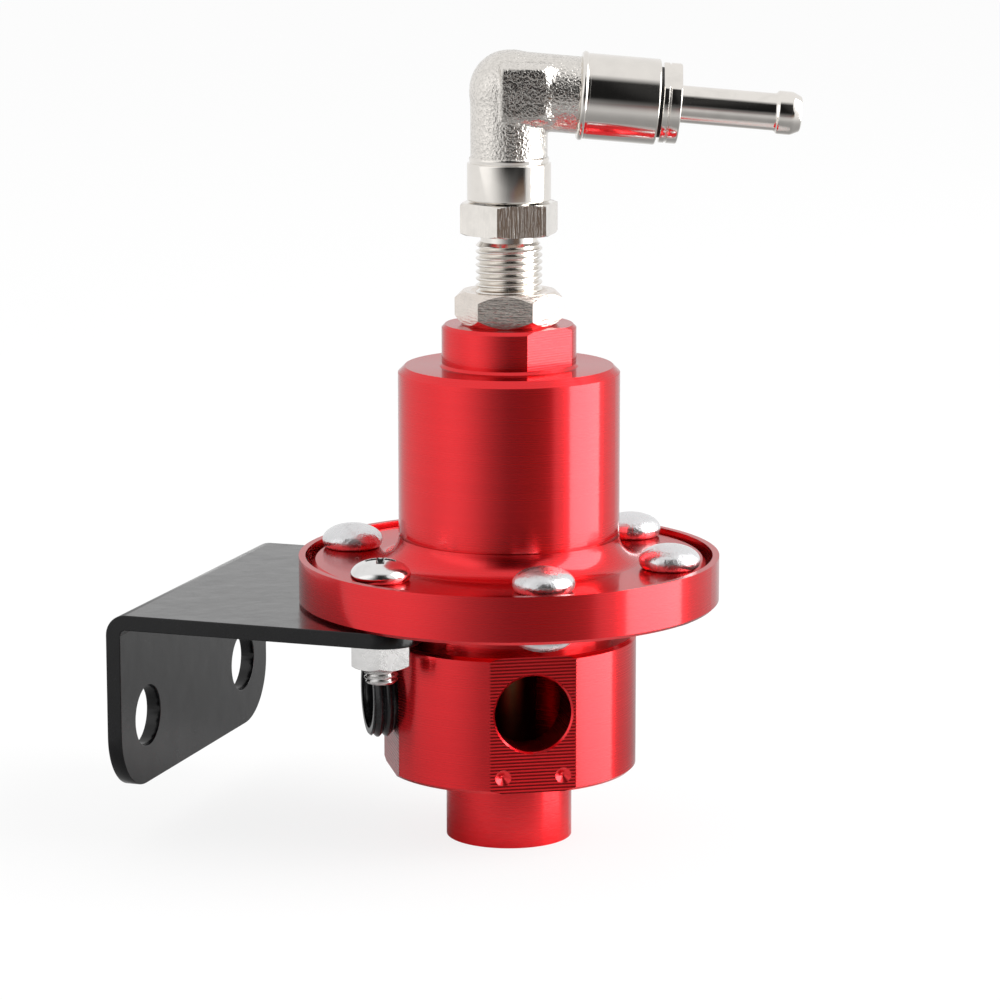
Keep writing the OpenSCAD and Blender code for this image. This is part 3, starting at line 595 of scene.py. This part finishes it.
def plated(name, rgb, rough, stretch=(0.2, 0.2, 6.0), depth=0.004, marked=(-1e3, 1e3)):
    """Bright plating: scuffs, and tool marks between two heights that run where the stretch is small."""
    material, tree, shader, place = new_material(name, {"Metallic": 1.0})
    height = height_of(tree, place)
    tool = group(tree, streak_group, {"Vector": place, "Stretch": stretch})
    wear = group(tree, scuff_group, {"Vector": place, "Density": 1.0})
    above = math_node(tree, "GREATER_THAN", height, marked[0])
    zone = times(tree, above, math_node(tree, "LESS_THAN", height, marked[1]))
    base = blend(tree, wear["Patch"], tinted(rgb, 1.03), tinted(rgb, 0.95))
    streaked = ramp_value(tree, tool["Tone"], 0.3, 0.7, rough - 0.03, rough + 0.04)
    worn = math_node(tree, "MULTIPLY_ADD", wear["Mask"], 0.12, streaked)
    shade(tree, shader, base, worn, times(tree, tool["Height"], zone), depth)
    return material


def forged_nickel(name, rgb, pebble, turned_top, turned_from):
    """Nickel on a forging: pebbled skin, and smooth turned zones below turned_top and beyond turned_from. The
    grain's low spots carry painted shade and the pad faces a painted dark reflection.
    """
    material, tree, shader, place = new_material(name, {"Metallic": 1.0})
    from_corner = {0: place, 1: tuple(ARM_ORIGIN)}
    offset = add(tree, "VectorMath", from_corner, operation="SUBTRACT").outputs[0]
    along = dot(tree, offset, tuple(ARM_AXIS))
    collar = ramp_value(tree, height_of(tree, place), turned_top, turned_top + 0.3, 1.0, 0.0)
    socket = ramp_value(tree, along, turned_from - 0.3, turned_from)
    turned = math_node(tree, "MAXIMUM", collar, socket)
    skin = group(tree, grain_group, {"Vector": place, "Size": pebble / MM})
    lines = group(tree, turning_group, {"Position": along, "Fineness": 6.0})
    marks = group(tree, scuff_group, {"Vector": place, "Density": 1.0})
    rough_skin = ramp_value(tree, skin["Height"], 0.0, 1.0, 0.16, 0.10)
    smooth = math_node(tree, "MULTIPLY_ADD", marks["Mask"], 0.10, 0.11)
    rest = math_node(tree, "SUBTRACT", 1.0, turned)
    rough = math_node(tree, "MULTIPLY_ADD", rough_skin, rest, times(tree, smooth, turned))
    base = blend(tree, skin["Tone"], tinted(rgb, 1.04), tinted(rgb, 0.92))
    # Painted shade: the low spots of the forging grain are darkened in the colour.
    painted_pit_shade = times(tree, math_node(tree, "SUBTRACT", 1.0, skin["Height"]), rest)
    base = blend(tree, times(tree, painted_pit_shade, 0.25), base, tinted(rgb, 0.4))
    # Painted reflection: the flat pad faces are darkened in the colour as if they mirrored the dark card.
    across = dot(tree, offset, (-ARM_AXIS[1], ARM_AXIS[0], 0.0))
    painted_pad_reflection = ramp_value(tree, math_node(tree, "ABSOLUTE", across), 5.62, 5.76, 0.0, 0.40)
    base = blend(tree, times(tree, painted_pad_reflection, rest), base, tinted(rgb, 0.35))
    tool_lines = times(tree, lines["Height"], times(tree, turned, 0.06))
    relief = math_node(tree, "MULTIPLY_ADD", skin["Height"], rest, tool_lines)
    shade(tree, shader, base, rough, relief, 0.065)
    return material


def plain_aluminium(name, rgb):
    """Upset rivet metal: satin, with scuffs and a faint hammered grain."""
    material, tree, shader, place = new_material(name, {"Metallic": 0.95})
    marks = group(tree, scuff_group, {"Vector": place, "Density": 1.0})
    grain = group(tree, grain_group, {"Vector": place, "Size": 0.5})
    base = blend(tree, marks["Mask"], tinted(rgb, 1.0), tinted(rgb, 0.6))
    rough = math_node(tree, "MULTIPLY_ADD", marks["Patch"], 0.18, 0.25)
    relief = math_node(tree, "MULTIPLY_ADD", marks["Mask"], 0.5, grain["Height"])
    shade(tree, shader, base, rough, relief, 0.035)
    return material


def painted(name, rgb, rough, texture_depth):
    """Black finish: fine orange peel on a slightly uneven skin, with rubbed streaks, lighter and rougher."""
    material, tree, shader, place = new_material(name, {"Metallic": 0.0, "Specular IOR Level": 0.36})
    marks = group(tree, scuff_group, {"Vector": place, "Density": 0.9})
    peel = noise(tree, place, 3.2, 4.0, 0.6)
    skin = noise(tree, place, 0.16, 2.0)
    base = blend(tree, marks["Mask"], tinted(rgb, 1.0), tinted(rgb, 9.0))
    patchy = math_node(tree, "MULTIPLY_ADD", marks["Patch"], 0.06, rough)
    rubbed = math_node(tree, "MULTIPLY_ADD", marks["Mask"], 0.16, patchy)
    relief = math_node(tree, "MULTIPLY_ADD", skin, 7.0, peel)
    shade(tree, shader, base, rubbed, relief, texture_depth)
    return material


class REGULATOR_OT_turned_body(bpy.types.Operator):
    """Red anodising on the lower body and the bonnet, with milled ridges on their flats"""

    bl_idname = "regulator.turned_body"
    bl_label = "Turned body"

    def execute(self, context):
        finish = context.scene.regulator_finish
        detail = context.scene.regulator_detail
        port_flats = [(heading,) + PORT_FLAT for heading in (INLET_HEADING, PLUG_HEADING)]
        neck_flats = [(heading,) + NECK_FLAT for heading in NECK_HEADINGS]
        finish_node("lower_body", anodised("red_body", finish.red, port_flats, detail.port_ridge, ridge=0.55))
        finish_node("bonnet", anodised("red_bonnet", finish.red, neck_flats, detail.neck_ridge, ridge=0.25))
        return {"FINISHED"}


class REGULATOR_OT_threaded_stem(bpy.types.Operator):
    """Adjusting stem with a real thread, a relief, a chamfered hex and the swivel spigot"""

    bl_idname = "regulator.threaded_stem"
    bl_label = "Threaded stem"

    def execute(self, context):
        finish = context.scene.regulator_finish
        pitch = context.scene.regulator_detail.stem_pitch / MM
        tip, top = heights("adjusting_stem")
        hex_low, hex_high = top - 14.7, top - 10.0
        bore, crest, neck, spigot = 1.6, 4.95, 4.2, 3.6
        seal_groove, clip_groove = 2.3, 3.0
        thread = thread_sleeve(tip, hex_low - 1.1, pitch, crest - 0.6, crest, bore, sharpness=0.8)
        neck_low, neck_high = hex_low - 1.4, hex_low + 0.3
        relief = lathe(((bore, neck_low), (neck, neck_low), (neck, neck_high), (bore, neck_high)))
        nut = hex_block(hex_low, hex_high, 13.0, math.radians(35.0), bore)
        spigot_profile = (
            (bore, hex_high - 0.2), (spigot, hex_high - 0.2),
            (spigot, hex_high + 2.05), (seal_groove, hex_high + 2.05),
            (seal_groove, hex_high + 3.55), (spigot, hex_high + 3.55),
            (spigot, hex_high + 7.0), (clip_groove, hex_high + 7.0),
            (clip_groove, hex_high + 8.05), (spigot, hex_high + 8.05),
            (spigot, top - 0.8), (spigot - 0.8, top), (bore, top),
        )
        on_hex = (hex_low, hex_high)
        metal = plated("nickel_stem", finish.nickel, 0.15, (4.0, 4.0, 0.15), depth=0.05, marked=on_hex)
        shells = [thread, relief, nut, lathe(spigot_profile)]
        new_piece("threaded_stem", shells, metal, "adjuster", ["adjusting_stem"], 40.0)
        return {"FINISHED"}


class REGULATOR_OT_lock_nut(bpy.types.Operator):
    """Nickel on the lock nut, tinted warm as a painted reflection of the red body"""

    bl_idname = "regulator.lock_nut"
    bl_label = "Lock nut"

    def execute(self, context):
        rgb = context.scene.regulator_finish.nut
        finish_node("lock_nut", plated("nickel_nut", rgb, 0.20, (0.5, 0.5, 3.5), depth=0.12))
        return {"FINISHED"}


class REGULATOR_OT_forged_elbow(bpy.types.Operator):
    """Forged elbow with square pads, turned collar and turned socket"""

    bl_idname = "regulator.forged_elbow"
    bl_label = "Forged elbow"

    def execute(self, context):
        finish = context.scene.regulator_finish
        metal = forged_nickel(
            "nickel_elbow",
            finish.nickel,
            context.scene.regulator_detail.pebble,
            turned_top=ELBOW_FOOT + 6.2,
            turned_from=10.3,
        )
        bore = 3.65
        collar = rounded(
            (
                (bore, ELBOW_FOOT), (6.2, ELBOW_FOOT),
                (6.2, ELBOW_FOOT + 5.6), (5.8, ELBOW_FOOT + 5.6), (5.95, ELBOW_FOOT + 6.3),
                (5.5, ELBOW_FOOT + 6.7), (bore, ELBOW_FOOT + 6.7),
            ),
            (0.05, 0.35, 0.35, 0.1, 0.3, 0.2, 0.05),
        )
        lip = np.radians(np.linspace(-150.0, 60.0, 14))
        bead = np.column_stack((6.05 + 0.5 * np.cos(lip), 10.8 + 0.5 * np.sin(lip)))
        end = rounded(
            (
                (6.3, 11.6), (6.3, 21.9),
                (4.55, 21.9), (4.55, 15.9), (4.4, 10.4),
            ),
            (0.02, 0.35, 0.1, 0.1, 0.02),
        )
        socket = np.concatenate((bead, end))
        shells = [
            forging(tube=5.675, swell=0.12, reach_down=11.6, reach_out=11.6),
            lathe(collar),
            placed(lathe(socket), ARM_ORIGIN, ARM_HEADING, ARM_TILT),
        ]
        new_piece("forged_elbow", shells, metal, "elbow", ["swivel_elbow"], 36.0)
        return {"FINISHED"}


class REGULATOR_OT_hose_tail(bpy.types.Operator):
    """Turned hose tail with a stepped collar, spanner flats, a round bead and a lead cone"""

    bl_idname = "regulator.hose_tail"
    bl_label = "Hose tail"

    def execute(self, context):
        metal = plated("nickel_tail", context.scene.regulator_finish.nickel, 0.10)
        bore, tube, bead, collar = 1.5, 2.75, 3.175, 5.9
        outline = (
            (bore, 15.9), (4.5, 15.9), (4.5, 22.35),
            (collar, 22.35), (collar, 23.15), (collar - 0.15, 23.25),
            (collar - 0.15, 23.4), (collar, 23.5), (collar, 25.05),
            (tube, 25.05), (tube, 39.25), (bead, 39.55),
            (bead, 41.65), (tube - 0.2, 43.0), (bore, 43.0),
        )
        corners = (0.1, 0.2, 0.02, 0.2, 0.05, 0.05, 0.05, 0.05, 0.25, 0.3, 0.3, 0.2, 0.3, 0.25, 0.2)
        profile = rounded(outline, corners)
        on_collar = (profile[:, 1] > 22.3) & (profile[:, 1] < 25.1) & (profile[:, 0] > 4.6)
        shell = lathe_with_flats(np.column_stack((profile, on_collar)), 5.2, math.radians(35.0))
        tail = [placed(shell, ARM_ORIGIN, ARM_HEADING, ARM_TILT)]
        new_piece("hose_tail", tail, metal, "elbow", ["hose_barb"], 36.0)
        return {"FINISHED"}


class REGULATOR_OT_bracket_screws(bpy.types.Operator):
    """Two screws with a domed head, a cross recess and a threaded end, and their nuts"""

    bl_idname = "regulator.bracket_screws"
    bl_label = "Bracket screws"

    def execute(self, context):
        finish = context.scene.regulator_finish
        pitch = context.scene.regulator_detail.screw_pitch / MM
        metal = plated("zinc_screw", finish.zinc, 0.17)
        low, high = heights("bracket_screws")
        head_height = 3.2
        seat = high - head_height
        core, shank_radius = 0.4, 2.45
        head = cross_head(4.45, head_height)
        shank = lathe(((core, -9.0), (shank_radius, -9.0), (shank_radius, 0.2), (core, 0.2)), 64)
        thread = thread_sleeve(low - seat, -8.5, pitch, 2.05, 2.5, core, sharpness=0.8, cols=64)
        shells = round_flange((head, shank, thread), SCREW_HEADINGS, seat)
        new_piece("cross_screws", shells, metal, "housing", ["bracket_screws"], 38.0)
        finish_node("bracket_nuts", plated("zinc_nut", finish.zinc, 0.27, (1.5, 1.5, 1.5), depth=0.02))
        return {"FINISHED"}


class REGULATOR_OT_flange_rivets(bpy.types.Operator):
    """Four scuffed aluminium rivets with round-edged heads and flatter feet"""

    bl_idname = "regulator.flange_rivets"
    bl_label = "Flange rivets"

    def execute(self, context):
        metal = plain_aluminium("rivet_metal", context.scene.regulator_finish.aluminium)
        low, high = heights("flange_rivets")
        dome_height, edge_height, foot_height = 2.4, 1.2, 2.3
        head_radius, foot_radius, shank_radius = 4.55, 4.45, 2.5
        seat = high - dome_height - edge_height
        widest = seat + edge_height
        foot = low + foot_height
        rise = np.radians(np.linspace(90.0, 0.0, 20))
        dome = np.column_stack((head_radius * np.cos(rise), widest + dome_height * np.sin(rise)))
        fall = np.radians(np.linspace(-8.0, -72.0, 9))
        edge = np.column_stack((head_radius - 0.9 + 0.9 * np.cos(fall), widest + 1.26 * np.sin(fall)))
        drop = np.radians(np.linspace(0.0, -90.0, 16))
        pressed = np.column_stack((foot_radius * np.cos(drop), foot + foot_height * np.sin(drop)))
        shank = np.array(((shank_radius, seat), (shank_radius, foot)))
        rivet = lathe(np.concatenate((dome, edge, shank, pressed)), 96, hollow=False)
        shells = round_flange((rivet,), RIVET_HEADINGS)
        new_piece("round_rivets", shells, metal, "housing", ["flange_rivets"], 40.0)
        return {"FINISHED"}


class REGULATOR_OT_mounting_bracket(bpy.types.Operator):
    """Painted sheet bracket with rounded edges"""

    bl_idname = "regulator.mounting_bracket"
    bl_label = "Mounting bracket"

    def execute(self, context):
        detail = context.scene.regulator_detail
        paint = painted("satin_black", context.scene.regulator_finish.paint, 0.13, 0.012)
        mesh = NODES["mounting_bracket"].data.copy()
        work = bmesh.new()
        work.from_mesh(mesh)
        bmesh.ops.remove_doubles(work, verts=work.verts, dist=1e-6)
        bmesh.ops.dissolve_limit(work, angle_limit=math.radians(1.0), verts=work.verts, edges=work.edges)
        work.to_mesh(mesh)
        work.free()
        mesh.materials.clear()
        mesh.materials.append(paint)
        facing = np.empty(3 * len(mesh.polygons))
        mesh.polygons.foreach_get("normal", facing)
        mesh.polygons.foreach_set("use_smooth", np.abs(facing).reshape(-1, 3).max(axis=1) < 0.9999)
        piece = bpy.data.objects.new("painted_bracket", mesh)
        context.scene.collection.objects.link(piece)
        soft = piece.modifiers.new("Sheet edge", "BEVEL")
        soft.width = detail.sheet_edge
        soft.segments = 3
        soft.limit_method = "ANGLE"
        soft.angle_limit = math.radians(40.0)
        soft.harden_normals = True
        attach(piece, "housing")
        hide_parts("mounting_bracket")
        return {"FINISHED"}


class REGULATOR_OT_port_plug(bpy.types.Operator):
    """Hollow threaded plug of black plastic"""

    bl_idname = "regulator.port_plug"
    bl_label = "Port plug"

    def execute(self, context):
        pitch = context.scene.regulator_detail.plug_pitch / MM
        plastic = painted("plug_plastic", context.scene.regulator_finish.plastic, 0.16, 0.004)
        mouth, outer, inner = 21.6, 5.65, 4.7
        thread = thread_sleeve(18.3, mouth, pitch, 6.1, 6.6, 5.2, sharpness=0.7, cols=96, rows=14)
        cup = rounded(
            (
                (0.02, 12.4), (outer, 12.4),
                (outer, mouth - 0.4), (outer - 0.05, mouth), (inner, mouth - 0.7),
                (inner, 13.6), (0.02, 13.6),
            ),
            (0.01, 0.3, 0.1, 0.2, 0.3, 0.4, 0.01),
        )
        centre = (0.0, 0.0, PORT_HEIGHT)
        shells = [placed(shell, centre, PLUG_HEADING, math.pi / 2) for shell in (thread, lathe(cup))]
        new_piece("threaded_plug", shells, plastic, "housing", ["port_plug"], 40.0)
        return {"FINISHED"}


class REGULATOR_OT_main_spring(bpy.types.Operator):
    """Pressure spring, split into its lower coils and its upper coils"""

    bl_idname = "regulator.main_spring"
    bl_label = "Pressure spring"

    def execute(self, context):
        steel = plated("spring_wire", context.scene.regulator_finish.steel, 0.30)
        foot, top = heights("main_spring")
        wire, mean, turns, split = 1.3, 10.0, 4.5, 1.6
        helix = (turns, foot + wire, top - wire, mean, wire)
        lower_wire, upper_wire = [coil(0.0, split, *helix)], [coil(split, turns, *helix)]
        lower = new_object("lower_coils", lower_wire, steel, ["main_spring"])
        upper = new_object("upper_coils", upper_wire, steel, ["main_spring"])
        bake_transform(lower)
        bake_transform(upper)
        return {"FINISHED"}


class REGULATOR_OT_inner_pieces(bpy.types.Operator):
    """Finishes of the valve, the seals, the clip and the diaphragm"""

    bl_idname = "regulator.inner_pieces"
    bl_label = "Inner pieces"

    def execute(self, context):
        finish = context.scene.regulator_finish
        rubber = painted("seal_rubber", finish.rubber, 0.55, 0.01)
        steel = plated("inner_steel", finish.steel, 0.30)
        nickel = plated("nickel_inner", finish.nickel, 0.20)
        zinc = plated("zinc_inner", finish.zinc, 0.25)
        brass = plated("seat_brass", finish.brass, 0.42)
        for node in ("diaphragm", "stem_seal", "swivel_seal", "barb_seal"):
            finish_node(node, rubber)
        for node in ("valve_disc", "swivel_clip"):
            finish_node(node, steel)
        for node in ("valve_holder", "spring_cup", "spring_seat"):
            finish_node(node, nickel)
        finish_node("stud_nut", zinc)
        finish_node("return_seat", brass)
        return {"FINISHED"}


class REGULATOR_OT_stage(bpy.types.Operator):
    """Camera at the photographed angle, pale floor, white surroundings with a dark card, and a soft lamp"""

    bl_idname = "regulator.stage"
    bl_label = "Stage"

    def execute(self, context):
        scene = context.scene
        stage = scene.regulator_stage
        scene.view_settings.view_transform = "Standard"
        self.camera(scene, stage)
        self.floor(scene, stage)
        self.surroundings(scene, stage)
        self.lamp(scene, stage)
        return {"FINISHED"}

    def set_stops(self, node, stops):
        """Stops of a colour ramp, from angles to the right and grey values."""
        elements = node.color_ramp.elements
        while len(elements) < len(stops):
            elements.new(0.5)
        for element, (turn, value) in zip(elements, stops):
            element.position = 0.5 + 0.5 * math.sin(math.radians(turn))
            element.color = (value, value, value, 1.0)

    def camera(self, scene, stage):
        """Camera on a sphere round the aim point."""
        data = bpy.data.cameras.new("camera")
        data.lens = stage.lens
        data.sensor_width = 36.0
        data.shift_x = stage.shift
        data.clip_start = 0.01
        camera = bpy.data.objects.new("camera", data)
        away = Vector(
            (
                math.sin(stage.azimuth) * math.cos(stage.elevation),
                -math.cos(stage.azimuth) * math.cos(stage.elevation),
                math.sin(stage.elevation),
            )
        )
        camera.location = Vector((0.0, 0.0, stage.aim)) + away * stage.distance
        camera.rotation_euler = away.to_track_quat("Z", "Y").to_euler()
        scene.collection.objects.link(camera)
        scene.camera = camera

    def floor(self, scene, stage):
        """Wide floor, nearly white to the camera, that keeps the shadow. Reflections see only its part near
        the object and look through the rest, which is darkened near the object as painted shade on the table."""
        span = 6.0
        mesh = bpy.data.meshes.new("floor")
        corners = [(-span, -span, 0.0), (span, -span, 0.0), (span, span, 0.0), (-span, span, 0.0)]
        mesh.from_pydata(corners, [], [(0, 1, 2, 3)])
        floor = bpy.data.objects.new("floor", mesh)
        scene.collection.objects.link(floor)
        material = bpy.data.materials.new("pale_floor")
        material.use_nodes = True
        tree = material.node_tree
        tree.nodes.clear()
        matte = add(tree, "BsdfDiffuse", {"Color": tinted(stage.floor, 1.0)})
        glow = add(tree, "Emission", {"Color": (1.0, 1.0, 1.0, 1.0), "Strength": 1.0})
        rays = add(tree, "LightPath").outputs
        share = times(tree, rays["Is Camera Ray"], 0.84)
        mixed = add(tree, "MixShader", {0: share, 1: matte.outputs[0], 2: glow.outputs[0]})
        place = add(tree, "TexCoord").outputs["Object"]
        away = add(tree, "VectorMath", {0: place}, operation="LENGTH").outputs["Value"]
        # Painted shade: reflections through the floor are darkened near the object, for its shade on the
        # table.
        painted_floor_shade = ramp_value(tree, away, 0.06, 0.25, 0.6, 1.0)
        clear = add(tree, "BsdfTransparent", {"Color": painted_floor_shade})
        beyond = ramp_value(tree, away, 0.015, 0.06)
        far = times(tree, rays["Is Glossy Ray"], beyond)
        passed = add(tree, "MixShader", {0: far, 1: mixed.outputs[0], 2: clear.outputs[0]})
        output = add(tree, "OutputMaterial")
        tree.links.new(passed.outputs[0], output.inputs["Surface"])
        mesh.materials.append(material)

    def surroundings(self, scene, stage):
        """White world with a card on the camera's side. The card's brightness goes by the angle to the
        right, its foot takes the tone of a table and its middle is black. The world is white over it and
        pale under it, and the camera itself sees plain white."""
        world = bpy.data.worlds.new("studio")
        world.use_nodes = True
        scene.world = world
        tree = world.node_tree
        tree.nodes.clear()
        ray = add(tree, "TexCoord").outputs["Generated"]
        right = (math.cos(stage.azimuth), math.sin(stage.azimuth), 0.0)
        front = (math.sin(stage.azimuth), -math.cos(stage.azimuth), 0.0)
        height = height_of(tree, ray)
        rise = math_node(tree, "ARCTAN2", height, dot(tree, ray, front))
        spread = times(tree, dot(tree, ray, right), ramp_value(tree, rise, 0.1, 0.7, 0.5, 0.95))
        panel = add(tree, "ValToRGB", {0: math_node(tree, "ADD", spread, 0.5)})
        self.set_stops(panel, CARD_STOPS)
        lower = ramp_value(tree, rise, -0.55, -0.22)
        upper = ramp_value(tree, rise, 0.85, 1.15, 1.0, 0.0)
        over_table = ramp_value(tree, rise, -0.18, -0.02)
        table = blend(tree, over_table, (0.21, 0.15, 0.115, 1.0), (0.01, 0.01, 0.01, 1.0))
        tones = {0: 1.0, 1: panel.outputs[0], 2: table}
        card = add(tree, "MixRGB", tones, blend_type="LIGHTEN").outputs[0]
        middle = ramp_value(tree, math_node(tree, "ABSOLUTE", spread), 0.08, 0.40, 1.0, 0.0)
        core = times(tree, middle, ramp_value(tree, rise, -0.15, 0.05))
        card = blend(tree, core, card, (0.012, 0.012, 0.012, 1.0))
        ground = ramp_value(tree, height, -0.75, -0.20, 0.55, 0.95)
        card = blend(tree, times(tree, lower, upper), ground, card)
        rays = add(tree, "LightPath").outputs
        sky = blend(tree, rays["Is Camera Ray"], card, (1.0, 1.0, 1.0, 1.0))
        shown = add(tree, "Background", {"Color": sky, "Strength": 1.0})
        output = add(tree, "OutputWorld")
        tree.links.new(shown.outputs[0], output.inputs["Surface"])

    def lamp(self, scene, stage):
        """Tall soft panel on the right of the object, a little above it."""
        data = bpy.data.lights.new("right_panel", "AREA")
        data.shape = "RECTANGLE"
        data.size = 0.75
        data.size_y = 1.4
        data.energy = 15.0
        lamp = bpy.data.objects.new("right_panel", data)
        turn_right = stage.azimuth - math.pi / 2 + math.radians(86.0)
        away = Vector((math.cos(turn_right), math.sin(turn_right), 0.28)).normalized()
        lamp.location = Vector((0.0, 0.0, stage.aim)) + away * 0.9
        lamp.rotation_euler = away.to_track_quat("Z", "Y").to_euler()
        scene.collection.objects.link(lamp)


class REGULATOR_PT_panel(bpy.types.Panel):
    """Sidebar list of the settings and the pieces"""

    bl_idname = "REGULATOR_PT_panel"
    bl_label = "Fuel pressure regulator"
    bl_space_type = "VIEW_3D"
    bl_region_type = "UI"
    bl_category = "Regulator"

    def draw(self, context):
        column = self.layout.column()
        scene = context.scene
        for settings in (scene.regulator_finish, scene.regulator_detail, scene.regulator_stage):
            for key in settings.__annotations__:
                column.prop(settings, key)
        for operator in OPERATORS:
            column.operator(operator.bl_idname)


SETTINGS = (FinishSettings, DetailSettings, StageSettings)
OPERATORS = (
    REGULATOR_OT_turned_body,
    REGULATOR_OT_threaded_stem,
    REGULATOR_OT_lock_nut,
    REGULATOR_OT_forged_elbow,
    REGULATOR_OT_hose_tail,
    REGULATOR_OT_bracket_screws,
    REGULATOR_OT_flange_rivets,
    REGULATOR_OT_mounting_bracket,
    REGULATOR_OT_port_plug,
    REGULATOR_OT_main_spring,
    REGULATOR_OT_inner_pieces,
    REGULATOR_OT_stage,
)


def register():
    """Registers the classes and puts the settings on the scene."""
    for item in SETTINGS + OPERATORS + (REGULATOR_PT_panel,):
        bpy.utils.register_class(item)
    bpy.types.Scene.regulator_finish = PointerProperty(type=FinishSettings)
    bpy.types.Scene.regulator_detail = PointerProperty(type=DetailSettings)
    bpy.types.Scene.regulator_stage = PointerProperty(type=StageSettings)


def unregister():
    """Takes the settings off the scene and unregisters the classes."""
    del bpy.types.Scene.regulator_stage
    del bpy.types.Scene.regulator_detail
    del bpy.types.Scene.regulator_finish
    for item in reversed(SETTINGS + OPERATORS + (REGULATOR_PT_panel,)):
        bpy.utils.unregister_class(item)


def main():
    """Builds every piece and the stage."""
    register()
    bpy.ops.regulator.turned_body()
    bpy.ops.regulator.threaded_stem()
    bpy.ops.regulator.lock_nut()
    bpy.ops.regulator.forged_elbow()
    bpy.ops.regulator.hose_tail()
    bpy.ops.regulator.bracket_screws()
    bpy.ops.regulator.flange_rivets()
    bpy.ops.regulator.mounting_bracket()
    bpy.ops.regulator.port_plug()
    bpy.ops.regulator.main_spring()
    bpy.ops.regulator.inner_pieces()
    bpy.ops.regulator.stage()


if __name__ == "__main__":
    main()
